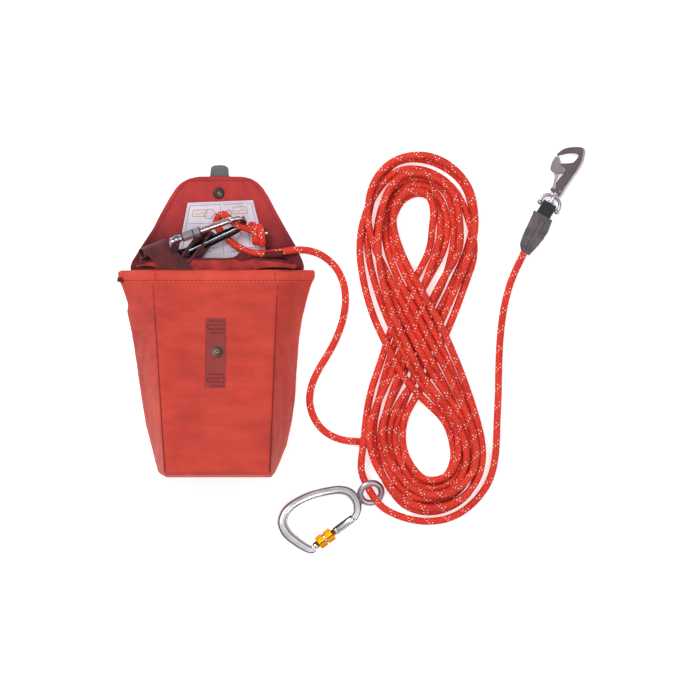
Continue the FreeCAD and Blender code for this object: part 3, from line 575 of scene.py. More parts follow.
def stitches(path, pitch, length, radius=0.32):
    """A row of raised thread stitches along path (points in millimetres with their own heights)."""
    path = np.asarray(path, float)
    distance = running_length(path)
    sides, rings = 6, 5
    points, faces = [], []
    for start in np.arange(0.5, distance[-1] - length, pitch):
        spots = start + length * np.linspace(0.0, 1.0, rings)
        places = np.stack([np.interp(spots, distance, path[:, axis]) for axis in range(3)], axis=1)
        way = places[-1] - places[0]
        way /= np.linalg.norm(way)
        side = np.cross(way, (0.0, 0.0, 1.0))
        side /= max(np.linalg.norm(side), 1e-6)
        up = np.cross(side, way)
        base = len(points)
        for ring, place in enumerate(places):
            swell = math.sin(math.pi * (0.12 + 0.76 * ring / (rings - 1)))
            middle = place + 0.25 * swell * up
            for angle in turn_angles(sides):
                out = math.cos(angle) * side + math.sin(angle) * up
                points.append((middle + radius * swell * out) * MM)
        faces += ring_faces(rings, sides, base) + end_faces(rings, sides, base)
    return mesh_from(points, faces, blank_uvs(faces))


def lathe(profile, centre, sides=40):
    """A piece turned about an upright axis: profile has pairs of a radius and a height in millimetres."""
    points = []
    for radius, height in profile:
        for angle in turn_angles(sides):
            x, y = centre[0] + radius * math.cos(angle), centre[1] + radius * math.sin(angle)
            points.append((x * MM, y * MM, (centre[2] + height) * MM))
    faces = [(a, d, c, b) for a, b, c, d in ring_faces(len(profile), sides)]
    return mesh_from(points, faces, blank_uvs(faces))


def spun_along(start, way, profile, sides, ridges=0):
    """A piece turned about a sloping axis: profile has pairs of a distance along it and a radius. ridges is
    how many ribs its widest part has."""
    way = way / np.linalg.norm(way)
    across = np.array([-way[1], way[0], 0.0]) / math.hypot(way[0], way[1])
    upward = np.cross(way, across)
    points = []
    for distance, radius in profile:
        for angle in turn_angles(sides):
            full = radius + (0.3 * math.cos(ridges * angle) if ridges and radius > 7.0 else 0.0)
            out = across * full * math.cos(angle) + upward * full * math.sin(angle)
            points.append((start + way * distance + out) * MM)
    faces = ring_faces(len(profile), sides)
    return mesh_from(points, faces, blank_uvs(faces))


def swept_bar(line, widths, heights, up=(0.0, 0.0, 1.0), power=0.85, groove=0.42):
    """A bar along line (millimetres) in the plane across up. Its half width in the plane and half height
    change along it; a smaller power makes it squarer, and groove is how deep its two flutes are."""
    line = np.asarray(line, float)
    up = np.array(up)
    ways = np.gradient(line, axis=0)
    ways /= np.linalg.norm(ways, axis=1)[:, None]
    spots = np.linspace(0.0, 1.0, len(widths))
    share = np.linspace(0.0, 1.0, len(line))
    wide, high = np.interp(share, spots, widths), np.interp(share, spots, heights)
    points = []
    for index, (place, way) in enumerate(zip(line, ways)):
        side = np.cross(up, way)
        depth = min(1.0, 6.4 * share[index] * (1 - share[index]))
        for angle in turn_angles(BAR_SIDES):
            flat, rise = math.cos(angle), math.sin(angle)
            flute = 1.0 - groove * math.exp(-((flat - 0.12) / 0.36) ** 2) * depth
            spot = place + side * wide[index] * math.copysign(abs(flat) ** power, flat)
            points.append((spot + up * high[index] * math.copysign(abs(rise) ** power, rise) * flute) * MM)
    faces = ring_faces(len(line), BAR_SIDES)
    uvs = []
    for number in range(len(faces)):
        uvs += [(number // BAR_SIDES * MM, number % BAR_SIDES * MM)] * 4
    faces += end_faces(len(line), BAR_SIDES)
    uvs += [(0.0, 0.0)] * (2 * BAR_SIDES)
    return mesh_from(points, faces, uvs)


def plate(outline, low, high, bevel, wide=0.0, first=0, last=0):
    """A flat piece with bevelled edges, and the numbers of its side and top bevel faces between the
    outline's corners first and last. There the top bevel is wide."""
    steps = 5
    loop = outline[-2:] + outline + outline[:2]
    line = flat_line(loop, steps)[2 * steps: (len(outline) + 2) * steps, :2]
    count = len(line)
    ways = np.roll(line, -1, axis=0) - np.roll(line, 1, axis=0)
    inward = np.stack([-ways[:, 1], ways[:, 0]], axis=1)
    inward /= np.linalg.norm(inward, axis=1)[:, None]
    x, y = line[:, 0], line[:, 1]
    if np.sum(x * np.roll(y, -1) - y * np.roll(x, -1)) < 0:
        inward = -inward
    marked = [bool(wide) and first * steps <= index <= last * steps for index in range(count)]
    top_inset = np.where(marked, wide, bevel)
    points = []
    for level, inset in ((low, bevel), (low + bevel, 0.0), (high - bevel, 0.0), (high, top_inset)):
        spots = line + inward * np.broadcast_to(inset, count)[:, None]
        points += [(spot[0] * MM, spot[1] * MM, level * MM) for spot in spots]
    faces = ring_faces(4, count)
    rim = {number for number in range(count, len(faces)) if marked[number % count]}
    for start in (0, 3 * count):
        corners = [Vector(points[start + index]) for index in range(count)]
        faces += [tuple(start + corner for corner in three) for three in tessellate_polygon([corners])]
    return mesh_from(points, faces), rim


# ---------------------------------------------------------------- the free rope
def eased(share):
    """From 0 to 1, softly, as share goes from 0 to 1."""
    share = clamp(share)
    return share * share * (3 - 2 * share)


def spline_basis(count, samples):
    """The weights that turn a second-degree spline's control points into points along it."""
    spans = count - 2
    knots = np.concatenate([[0.0, 0.0], np.arange(spans + 1), [spans, spans]]).astype(float)
    values = np.linspace(0.0, spans - 1e-9, spans * samples)
    weights = np.zeros((len(values), count))
    for row, value in enumerate(values):
        first = int(value)
        before, left, right, after = knots[first + 1: first + 5]
        low = (right - value) / (right - left)
        high = 1.0 - low
        early = (right - value) / (right - before)
        late = (value - left) / (after - left)
        weights[row, first] = low * early
        weights[row, first + 1] = low * (1.0 - early) + high * (1.0 - late)
        weights[row, first + 2] = high * late
    return weights


def swapped_rank(rank, turn, index):
    """A turn's place in the band, with the turns that change places there."""
    for first, second, begin, end in HANK_SWAPS:
        reach = 1.8 + 0.9 * (second - first)
        rise = eased((index - begin) / reach + 0.5) * eased((end - index) / reach + 0.5)
        if turn == first:
            rank -= (second - first) * rise
        if turn == second:
            rank += (second - first) * rise
    return rank


def hank_points():
    """The hank's turns, as control points in millimetres before they settle on each other."""
    chance = np.random.default_rng(7)
    stations = len(HANK_BAND)
    crossing = slice(8, 15)
    points = [(172.0, -137.5, ROPE_RADIUS), (183.0, -148.0, ROPE_RADIUS)]
    for turn in range(HANK_TURNS):
        wander = chance.normal(0.0, 0.16, stations)
        wander[crossing] *= 0.4
        for index, (right, left, lift) in enumerate(HANK_BAND):
            if turn == 0 and index < 2:
                continue
            rank = HANK_TURNS - turn - index / stations + wander[index]
            place = clamp(swapped_rank(rank, turn, index) / HANK_TURNS)
            right, left = np.array(right), np.array(left)
            width = np.linalg.norm(left - right)
            inset = ROPE_RADIUS / width
            spot = right + (left - right) * (inset + (1 - 2 * inset) * place)
            stack = ROPE_RADIUS + lift + 1.2 * turn * (0.3 + 0.7 * max(0.0, 1 - width / 62.0))
            points.append((spot[0], spot[1], stack))
    return points


def settle(controls, free_from, free_to):
    """Pushes the rope's turns apart until they lie beside and on each other, like rope laid down."""
    rounds, late_round = 260, 200
    samples = 6
    gap = 2 * ROPE_RADIUS + 0.15
    start = np.array(controls, float)
    weights = spline_basis(len(start), samples)
    share = weights.T / np.maximum(weights.T.sum(axis=1, keepdims=True), 1e-9)
    free = np.zeros(len(start))
    free[free_from:free_to] = 1.0
    moved = np.zeros_like(start)
    for step in range(rounds):
        line = weights @ (start + moved)
        if step % 10 == 0:
            near = np.linalg.norm(line[:, None, :] - line[None, :, :], axis=2) < gap + 5.0
            first, second = np.nonzero(np.triu(near, 3 * samples))
        apart = line[first] - line[second]
        distance = np.linalg.norm(apart, axis=1)
        push = np.maximum(gap - distance, 0.0)[:, None] * apart / np.maximum(distance, 1e-6)[:, None]
        force = np.zeros_like(line)
        count = np.zeros(len(line))
        for ends, sign in ((first, 0.5), (second, -0.5)):
            np.add.at(force, ends, sign * push)
            np.add.at(count, ends, push.any(axis=1))
        force /= np.sqrt(np.maximum(count, 1.0))[:, None]
        moved += (share @ force) * free[:, None] * 2.2
        moved[:, 2] -= 0.10 * free * (1.0 if step < late_round else 0.2)
        smooth = moved.copy()
        smooth[1:-1] = 0.5 * moved[1:-1] + 0.25 * (moved[:-2] + moved[2:])
        moved = np.where(free[:, None] > 0, smooth, 0.0)
        moved[:, :2] *= 0.996
        floor = ROPE_RADIUS - (start + moved)[:, 2]
        moved[:, 2] += np.maximum(floor, 0.0) * free
    return start + moved


def rope_line():
    """The free rope's middle line, in metres."""
    hank = hank_points()
    first = len(LEAD_ROUTE)
    controls = settle(LEAD_ROUTE + hank + TAIL_ROUTE, first - 1, first + len(hank))
    curve = bpy.data.curves.new("rope_line", "CURVE")
    curve.dimensions = "3D"
    spline = curve.splines.new("NURBS")
    spline.points.add(len(controls) - 1)
    for point, place in zip(spline.points, controls):
        point.co = (*(place * MM), 1.0)
    spline.order_u = 3
    spline.use_endpoint_u = True
    curve.resolution_u = 12
    line = bpy.data.objects.new("rope_line", curve)
    bpy.context.scene.collection.objects.link(line)
    mesh = evaluated_mesh(line)
    path = np.array([vertex.co for vertex in mesh.vertices])
    bpy.data.objects.remove(line)
    return path


def evaluated_mesh(thing):
    """An object's mesh with its modifiers or its curve worked out."""
    bpy.context.view_layer.update()
    return bpy.data.meshes.new_from_object(thing.evaluated_get(bpy.context.evaluated_depsgraph_get()))


# ---------------------------------------------------------------- the bag
MOUTH_Y, SEAM_Y = 54.4, -164.0
LEFT_SIDE = [
    (-171, -54.0), (-168, -59.0), (-163, -63.6), (-154, -66.9), (-136, -71.3), (-110, -77.9),
    (-84, -82.3), (-57, -86.7), (-13, -93.3), (0, -96.4), (10, -98.8), (18, -97.8), (28, -101.0),
    (40, -105.4), (48, -109.3), (57, -109.0),
]
RIGHT_SIDE = [
    (-171, 54.0), (-168, 60.0), (-163, 64.0), (-154, 68.3), (-136, 76.4), (-110, 82.4), (-84, 86.0),
    (-57, 87.6), (-22, 90.3), (4, 94.4), (22, 99.0), (40, 104.4), (48, 108.3), (57, 108.6),
]
LEFT_SEAM = [(-164, -52.5), (-100, -57.5), (-20, -63.5), (55, -69.5)]
RIGHT_SEAM = [(-164, 59.8), (-100, 62.0), (-20, 64.5), (55, 67.3)]
PANEL_TOP_Y = 55.0
FRONT_RISE = 66.0 / 226.0


def front_z(x, y):
    """The height of the bag's front panel, which dips between its middle and its seams and has folds."""
    level = 26.0 + (PANEL_TOP_Y - y) * FRONT_RISE
    left, right = table(LEFT_SEAM, y), table(RIGHT_SEAM, y)
    share = clamp((x - left) / (right - left))
    down = clamp((PANEL_TOP_Y - y) / 220.0)
    dip = math.sin(FULL_TURN * share) ** 2 * (1.0 + 2.6 * math.sin(math.pi * down))
    calm = 1.0 - math.exp(-((x + 1.0) / 17.0) ** 2) * math.exp(-((y + 36.0) / 48.0) ** 2)
    edge = min(share, 1 - share) * (right - left)
    broad = 3.0 * smooth_noise(x, y * 0.7, 3.1, 46.0)
    folds = 2.6 * smooth_noise(x * 0.34 + 0.1 * y, y, 9.4, 13.0) * (0.55 + 0.5 * down)
    folds += 1.2 * smooth_noise(x, y * 0.4, 12.4, 15.0) * down
    pucker = 0.55 * math.sin(y / 1.9 + 3 * smooth_noise(x, y, 5.0, 30.0)) * math.exp(-edge / 5.0)
    cross = 1.8 * smooth_noise(x * 0.4, y, 14.2, 12.0) * math.exp(-abs(down - 0.93) / 0.12)
    hem = 1.2 * smooth_noise(x, 0.0, 21.0, 24.0) * math.exp(-down / 0.06)
    swell = (broad + folds + cross + hem) * calm * min(1.0, edge / 9.0 + 0.15)
    return level - 0.6 - dip * calm + swell + pucker


def gusset_points(y, start, stop, out, drop, seed):
    """A gusset's outline at y from start to stop, both pairs of x and z. out is the side it bulges to."""
    points = []
    for share in np.linspace(0.0, 1.0, 22)[:-1]:
        bend = math.sin(math.pi * share)
        x = start[0] + (stop[0] - start[0]) * share + out * 1.6 * bend * (1 - drop)
        z = start[1] + (stop[1] - start[1]) * share
        ripple = 2.4 * smooth_noise(y * 0.5, z, seed, 17.0)
        ripple += 1.3 * smooth_noise(y, z * 0.5, seed + 2.0, 8.0)
        points.append((x + out * ripple * bend, y, z + ripple * bend * 0.6))
    return points


def bag_section(y, drop):
    """The bag's outline at y, in millimetres: up the left gusset, over the front, down the right gusset and
    back underneath. drop is from 0 to 1 down the base panel."""
    foot, flat = 1.2, 1.6
    left, right = table(LEFT_SIDE, y), table(RIGHT_SIDE, y)
    seam_y = max(y, SEAM_Y)
    seam_left, seam_right = table(LEFT_SEAM, seam_y), table(RIGHT_SEAM, seam_y)
    top_left, top_right = front_z(seam_left, seam_y), front_z(seam_right, seam_y)
    points = gusset_points(y, (left, foot), (seam_left, top_left), -1.0, drop, 31.0)
    for share in np.linspace(0.0, 1.0, 66)[:-1]:
        x = seam_left + (seam_right - seam_left) * share
        points.append((x, y, front_z(x, seam_y)))
    points += gusset_points(y, (seam_right, top_right), (right, foot), 1.0, drop, 37.0)
    for share in np.linspace(0.0, 1.0, 34)[:-1]:
        x = right + (left - right) * share
        points.append((x, y, foot + 0.3 * smooth_noise(x, y, 41.0, 30.0)))
    section = np.array(points)
    height = section[:, 2]
    section[:, 2] = np.where(height > flat, height * (1 - drop) + flat * drop, height)
    for _ in range(2):
        section = 0.5 * section + 0.25 * (np.roll(section, 1, axis=0) + np.roll(section, -1, axis=0))
    return section


def make_shell():
    """The bag's cloth: the front, the gussets, the back and the base panel in one, with painted shade
    inside.
    """
    fold_y = SEAM_Y - 1.6
    places = [(y, 0.0) for y in np.linspace(MOUTH_Y, SEAM_Y, 100)]
    places += [(SEAM_Y - 0.9, 0.02), (fold_y, 0.06)]
    places += [(fold_y - 4.9 * share, 0.06 + 0.94 * share) for share in np.linspace(0.1, 1.0, 12)]
    sections = np.array([bag_section(y, drop) for y, drop in places])
    rows, columns = sections.shape[:2]
    around = running_length(sections[50])
    around = np.append(around, around[-1] + 3.0) * MM
    down = running_length(sections[:, 53]) * MM
    faces = ring_faces(rows, columns) + end_faces(rows, columns)[1:]
    uvs = ring_uvs(down, around) + [(0.0, 0.0)] * columns
    mesh = mesh_from(sections.reshape(-1, 3) * MM, faces, uvs)
    shell = bpy.data.objects.new("solidify", mesh)
    bpy.context.scene.collection.objects.link(shell)
    modifier = shell.modifiers.new("thickness", "SOLIDIFY")
    modifier.thickness = 1.5 * MM
    modifier.offset = -1.0
    # The inner side gets the second finish, dark cloth as painted shade inside the bag.
    modifier.material_offset = 1
    mesh.materials.append(finishes["cloth"])
    mesh.materials.append(finishes["lining"])
    thick = evaluated_mesh(shell)
    bpy.data.objects.remove(shell)
    thick.materials.clear()
    panels = ("front_panel", "left_gusset", "right_gusset", "base_panel", "back_panel")
    add_piece("bag_shell", thick, "cloth lining", "bag", panels)


def hem_line(y, lift):
    """The outline at y without the back, that much outside the cloth."""
    section = bag_section(y, 0.0)[2:108]
    way = np.gradient(section, axis=0)
    out = np.stack([-way[:, 2], np.zeros(len(way)), way[:, 0]], axis=1)
    out /= np.linalg.norm(out, axis=1)[:, None]
    return section + out * lift


def make_hem():
    """The hem, a second layer round the mouth, a little proud and stiff."""
    levels = (
        (41.6, 0.7), (42.4, 1.15), (45.0, 1.3), (48.0, 1.45), (51.0, 1.3), (54.0, 1.0), (55.1, 0.2),
        (54.9, -1.0),
    )
    hem = np.array([hem_line(y, lift) for y, lift in levels])
    hem[:, :, 1] += np.array([0.8 * smooth_noise(x, 0.0, 51.0, 22.0) for x in hem[0, :, 0]])[None, :]
    add_piece("bag_hem", slab(hem[::-1], 1.3), "hem", "bag", ("mouth_hem",))
    row = stitches(hem_line(44.2, 2.1)[1:-1], 4.6, 2.8, 0.42)
    add_piece("hem_stitches", row, "thread", "bag")


def make_seam(side, pairs, out):
    """A seam of the front: its ridge, the thread line beside it and a bar of stitches at the mouth."""
    low_y, mouth_y, hem_y = SEAM_Y + 1.0, 54.0, 42.0
    ridge = []
    for y in np.linspace(hem_y, low_y, 90):
        x = table(pairs, y)
        row = []
        for offset in (-1.6, -0.6, 0.4, 1.4):
            past = max(offset, 0.0)
            row.append((x + out * (offset - 0.2 * past), y, front_z(x, y) - 0.15 - 0.9 * past))
        ridge.append(row if out > 0.0 else row[::-1])
    add_piece("seam_" + side, slab(ridge, 0.9), "cloth", "bag")
    line = []
    for y in np.linspace(mouth_y, low_y, 120):
        x = table(pairs, y)
        line.append((x + out * 0.4, y, front_z(x, y) + 0.42))
    mesh = tube_along(np.array(line) * MM, 0.6 * MM, 8)
    add_piece("seam_line_" + side, mesh, "thread", "bag")
    path = []
    for y in np.linspace(mouth_y, hem_y, 6):
        x = table(pairs, y) - out * 2.6
        path.append((x, y, front_z(x, y) + 2.15))
    add_piece("seam_bar_" + side, stitches(path, 2.6, 2.0), "thread", "bag")


def make_side_label():
    """The label tag sewn into the hem's left end."""
    tag = []
    for u in np.linspace(0, 1, 8):
        x, z = -109.0 + 7.0 * u, 6.0 + 1.2 * u + 1.2 * math.sin(math.pi * u)
        tag.append([(x, 43.0 + 4.6 * v, z) for v in np.linspace(0, 1, 5)])
    add_piece("side_label", slab(tag, 0.7), "binding", "bag", ("side_tag",))


def make_front_tab():
    """The webbing tab on the bag's front, with a box of stitches at each end and the snap's stud."""
    left, right = -10.4, 11.6
    rows = []
    for y in np.linspace(2.4, -73.0, 60):
        row = []
        for x in np.linspace(left, right, 13):
            edge = min(abs(x - left), abs(x - right))
            row.append((x, y, front_z(x, y) + 1.25 - 0.35 * math.exp(-edge / 0.8)))
        rows.append(row[::-1])
    add_piece("front_strip", slab(rows, 1.5), "tab_webbing", "bag", ("front_webbing_tab",))
    for number, (top, bottom) in enumerate(((-0.4, -13.2), (-58.0, -70.6))):
        corners = []
        for line, level in enumerate(np.linspace(top, bottom, 4)):
            ends = [(-8.2, level), (9.4, level)]
            corners += ends if line % 2 == 0 else ends[::-1]
        path = [(x, y, front_z(x, y) + 2.3) for x, y in straight_line(corners, 9)[:-1]]
        rows = stitches(path, 2.6, 1.8, 0.55)
        add_piece("strip_stitches_%d" % number, rows, "thread", "bag")
    centre, top = box_middle(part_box("snap_stud"))
    ring = [(2.4, -0.05), (2.35, 0.012), (1.3, 0.012), (1.25, -0.05)]
    add_piece("stud_ring", lathe(ring, (centre[0], centre[1], top)), "brass", "bag")


# ---------------------------------------------------------------- the flap
FLAP_LEFT = [
    (44, -93.0), (60, -94.0), (66, -92.0), (84, -80.5), (101, -69.3), (119, -60.2), (136, -50.6),
    (146, -44.0), (152, -38.0), (156, -31.0), (158.6, -20.0),
]
FLAP_RIGHT = [
    (44, 93.0), (60, 95.0), (66, 93.5), (84, 85.0), (101, 75.2), (119, 65.2), (136, 56.3), (146, 50.0),
    (152, 44.5), (156, 38.0), (158.6, 27.0),
]
FLAP_TIP_Y = 158.6
SNAP_X, SNAP_Y = 2.2, 140.6
# The sheet's corners: top left, top right, bottom right and bottom left.
SHEET_CORNERS = np.array([(-31.7, 129.8), (39.8, 132.6), (56.6, 66.0), (-43.9, 66.0)])
# The plain drawings on the sheet, as lines through shares of its width and height.
DRAWINGS = {
    "key": [(0.26, 0.22), (0.3, 0.13), (0.38, 0.12), (0.42, 0.2), (0.36, 0.28), (0.28, 0.27), (0.26, 0.22)],
    "arm": [(0.4, 0.2), (0.47, 0.2)],
    "ring": [(0.58, 0.2), (0.6, 0.15), (0.64, 0.15), (0.655, 0.2), (0.63, 0.26), (0.59, 0.25), (0.58, 0.2)],
    "bend": [(0.1, 0.55), (0.18, 0.48), (0.28, 0.58), (0.36, 0.5), (0.44, 0.56)],
    "coil": [(0.6, 0.55), (0.68, 0.46), (0.76, 0.55), (0.68, 0.63), (0.6, 0.55)],
    "post": [(0.84, 0.44), (0.84, 0.7)],
    "line": [(0.84, 0.5), (0.9, 0.53), (0.84, 0.56)],
    "base": [(0.12, 0.78), (0.44, 0.78)],
    "foot": [(0.12, 0.84), (0.38, 0.84)],
    "rest": [(0.6, 0.78), (0.9, 0.78)],
    "step": [(0.6, 0.84), (0.82, 0.84)],
}


def flap_z(x, y):
    """The middle of the flap's cloth."""
    left, right = table(FLAP_LEFT, y), table(FLAP_RIGHT, y)
    edge = min(x - left, right - x, FLAP_TIP_Y - y)
    curl = 1.6 * math.exp(-max(edge, 0.0) / 9.0) * (0.6 + 0.7 * smooth_noise(x, y, 61.0, 26.0))
    away = clamp((y - 62.0) / 20.0)
    broad = 0.9 + 1.5 * smooth_noise(x, y, 63.0, 34.0) + 0.7 * smooth_noise(x, y * 0.6, 65.0, 12.0)
    from_snap = (x - SNAP_X) ** 2 + (y - SNAP_Y) ** 2
    away *= 1.0 - math.exp(-(from_snap / 110.0) ** 2)
    return 1.9 + away * max(0.0, broad) + away * max(0.0, curl)


def bend_with_flap(name, mesh, finish, replaces=()):
    """Adds a piece that lies on the flap, with its place baked into its mesh."""
    piece = add_piece(name, mesh, finish, None, replaces)
    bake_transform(piece)


def make_flap_cloth():
    turns = np.cos(np.linspace(0.0, math.pi, 57))
    shares = 0.5 - 0.5 * turns * (0.85 + 0.15 * np.abs(turns))
    grid, relief = [], []
    for y in np.concatenate([np.linspace(44.0, 150.0, 60), np.linspace(151.5, FLAP_TIP_Y, 7)]):
        left, right = table(FLAP_LEFT, y), table(FLAP_RIGHT, y)
        row, rise = [], []
        for x in left + (right - left) * shares[::-1]:
            edge = min(x - left, right - x, FLAP_TIP_Y - y)
            row.append((x, y, flap_z(x, y)))
            rise.append(0.45 * math.exp(-((edge - 2.0) / 2.0) ** 2))
        grid.append(row)
        relief.append(rise)
    mesh = slab(grid, 2.4, np.array(relief))
    bend_with_flap("flap_cloth", mesh, "flap", ("flap_shell", "flap_lining"))


def make_flap_stitches():
    """The row of stitches up the flap's left side, along its tip and down its right side."""
    inset, top, corner = 4.6, 154.2, 154.0
    levels = np.linspace(70.0, corner, 60)
    left = [(table(FLAP_LEFT, y) + inset, y) for y in levels]
    right = [(table(FLAP_RIGHT, y) - inset, y) for y in levels]
    tip = [(x, top) for x in np.linspace(left[-1][0], right[-1][0], 26)[1:-1]]
    path = [(x, y, flap_z(x, y) + 1.35) for x, y in left + tip + right[::-1]]
    bend_with_flap("flap_stitches", stitches(path, 3.6, 2.3, 0.36), "thread")


def on_sheet(u, v, lift):
    """A point on the sewn-on sheet: u from 0 at its left to 1, v from 0 at its top to 1."""
    top_left, top_right, low_right, low_left = SHEET_CORNERS
    top = top_left + (top_right - top_left) * u
    low = low_left + (low_right - low_left) * u
    x, y = top + (low - top) * v
    crease = 0.5 * math.exp(-((u - 0.52 - 0.03 * v) / 0.02) ** 2)
    swell = 0.45 * smooth_noise(x, y, 71.0, 17.0) + 0.3
    return (x, y, flap_z(x, y) + 1.45 + swell + crease + lift)


def stroke(name, pairs, width, ink):
    """A printed line: a flat ribbon through the points on the sheet."""
    places = np.array([on_sheet(u, v, 0.32) for u, v in straight_line(pairs, 6)])
    way = np.gradient(places, axis=0)
    side = np.stack([-way[:, 1], way[:, 0], np.zeros(len(way))], axis=1)
    side /= np.maximum(np.linalg.norm(side, axis=1), 1e-9)[:, None]
    ribbon = np.stack([places + side * width / 2, places, places - side * width / 2], axis=1)
    bend_with_flap("print_" + name, slab(ribbon[::-1], 0.12), ink)


def make_sheet():
    """The sewn-on sheet with plain drawings and no lettering."""
    sheet = [[on_sheet(u, v, 0.0) for u in np.linspace(0, 1, 60)] for v in np.linspace(0, 1, 44)]
    bend_with_flap("flap_sheet", slab(sheet, 0.35), "sheet", ("instruction_label",))
    stroke("frame", [(0.04, 0.05), (0.96, 0.05), (0.96, 0.95), (0.04, 0.95), (0.04, 0.05)], 0.5, "grey_ink")
    stroke("middle", [(0.5, 0.07), (0.52, 0.93)], 0.4, "grey_ink")
    stroke("bar", [(0.06, 0.36), (0.94, 0.36)], 0.35, "grey_ink")
    pole = np.array([(0.0, -0.07), (0.2, -0.07), (0.2, 0.04), (0.0, 0.04), (0.0, -0.07)])
    rope_part = np.array([(0.02, -0.02), (0.08, 0.01), (0.13, -0.03), (0.18, 0.0)])
    for key, u, v in (("a", 0.10, 0.2), ("b", 0.68, 0.17)):
        stroke("pole_" + key, pole + (u, v), 0.7, "tan_ink")
        stroke("rope_" + key, rope_part + (u, v), 0.6, "tan_ink")
    for key, pairs in DRAWINGS.items():
        stroke(key, pairs, 0.55, "grey_ink")
    border = [(u, 0.02) for u in np.linspace(0.02, 0.98, 24)]
    border += [(0.98, v) for v in np.linspace(0.04, 0.98, 20)]
    border += [(u, 0.98) for u in np.linspace(0.96, 0.02, 24)]
    border += [(0.02, v) for v in np.linspace(0.96, 0.04, 20)]
    row = stitches([on_sheet(u, v, 0.25) for u, v in border], 3.0, 2.0, 0.26)
    bend_with_flap("sheet_stitches", row, "pale_thread")


def make_pull_loop():
    """The folded webbing tab at the flap's tip."""
    grid = []
    for share in np.linspace(0.0, 1.0, 30):
        y = 153.0 + 17.8 * share
        half = 9.9 - 1.3 * share - 3.4 * max(0.0, (share - 0.8) / 0.2) ** 2.6
        bulge = 1.3 * math.sin(math.pi * clamp((y - 158.0) / 12.6))
        offsets = np.linspace(half, -half, 15)
        grid.append([(3.0 + x, y, 1.3 + bulge * (1.0 - 0.4 * (x / 9.6) ** 2)) for x in offsets])
    add_piece("pull_loop", slab(grid, 2.2, edge=0.45), "grey_webbing", "flap", ("pull_tab",))


def make_socket_well():
    """The snap's socket as seen from above, with a ring of brass in it."""
    sides = 40
    well = [
        (0.0, -1.4), (0.8, -1.4), (1.7, -1.4), (2.6, -1.4), (3.3, -1.0), (3.4, -0.3), (4.4, 0.25),
        (5.4, 0.2), (6.1, -0.5), (6.2, -1.8),
    ]
    centre, top = box_middle(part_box("snap_socket"))
    mesh = lathe(well, (centre[0], centre[1], top), sides)
    piece = add_piece("socket_well", mesh, "snap brass", "flap")
    mark_faces(piece, lambda number: number // sides == 1)


# ---------------------------------------------------------------- collar, straps, knot and rope end
def hollow(x, y):
    """How far a place is in one of the two openings between the collar and the hem: 0 outside, 1 inside."""
    hem_y = 56.0
    deepest = 0.0
    for middle, half, top in ((-79.0, 12.5, 60.6), (69.5, 19.5, 59.0)):
        reach = 1.0 - ((x - middle) / half) ** 2
        if reach > 0.0:
            limit = hem_y + (top - hem_y) * math.sqrt(reach)
            deepest = max(deepest, clamp((limit - y) / 1.5))
    return deepest


def collar_point(angle, share):
    """A point on the inner collar: share is 0 deep in the bag and 1 at the bound edge."""
    x_share, z_share = math.cos(angle), math.sin(angle)
    x = x_share * 90.0
    front = max(0.0, z_share)
    rim = 67.4 + 1.5 * smooth_noise(x, z_share * 10, 81.0, 24.0) - 5.0 * (abs(x) / 90.0) ** 6
    rim += 2.6 * math.exp(-((x - 30.0) / 16.0) ** 2) * front
    bend = share ** 1.2
    half = 68.0 + 21.0 * bend
    high = 9.0 - 3.2 * bend
    middle = 18.0 - 4.0 * bend
    y = 24.0 + (rim - 24.0) * share
    ripple = 1.8 * smooth_noise(x * 0.6, y * 1.8, 83.0, 13.0) + smooth_noise(x * 1.2, y, 87.0, 7.0)
    ripple -= 7.0 * hollow(x, y) * front
    fold = ripple * (0.4 + 0.6 * share) * (1.0 if front else 0.5)
    return (half * x_share, y, middle + high * z_share + fold)


def make_collar():
    angles = np.linspace(0.0, FULL_TURN, 300)
    shares = np.concatenate([np.linspace(0.0, 0.68, 10), np.linspace(0.70, 1.0, 34)])
    grid = [[collar_point(angle, share) for angle in angles] for share in shares[::-1]]
    replaced = ("inner_collar", "collar_binding")
    piece = add_piece("collar", slab(grid, 1.0), "collar lining", "bag", replaced)
    for polygon in piece.data.polygons:
        x, y = polygon.center.x / MM, polygon.center.y / MM
        # Painted shade: faces in the two openings and deep in the mouth get the dark inner cloth.
        polygon.material_index = 1 if hollow(x, y) > 0.15 or y < 50.0 else 0
    angles = np.linspace(-0.02 * math.pi, 1.02 * math.pi, 190)
    shares = (1.008, 1.002, 0.994, 0.986, 0.978)
    edge = [[collar_point(angle, share) for angle in angles] for share in shares]
    add_piece("collar_edge", slab(edge, 1.7), "binding", "bag")
    fold = []
    for v in np.linspace(0.0, 1.0, 12):
        left = np.array([13.7 + 3.5 * v, 68.6 - 3.4 * v])
        right = np.array([39.5 - 3.0 * v, 70.2 - 3.6 * v])
        row = []
        for u in np.linspace(0.0, 1.0, 16):
            x, y = left + (right - left) * u
            ridge = math.exp(-((u - 0.58) / 0.22) ** 2)
            row.append((x, y + 6.6 * ridge * (1 - v), 19.6 + 2.6 * ridge * (1.0 - 0.5 * v) + 1.2 * (1 - v)))
        fold.append(row)
    add_piece("collar_fold", slab(fold, 1.6), "binding", "bag")


def unit(degrees):
    return np.array([math.cos(math.radians(degrees)), math.sin(math.radians(degrees))])


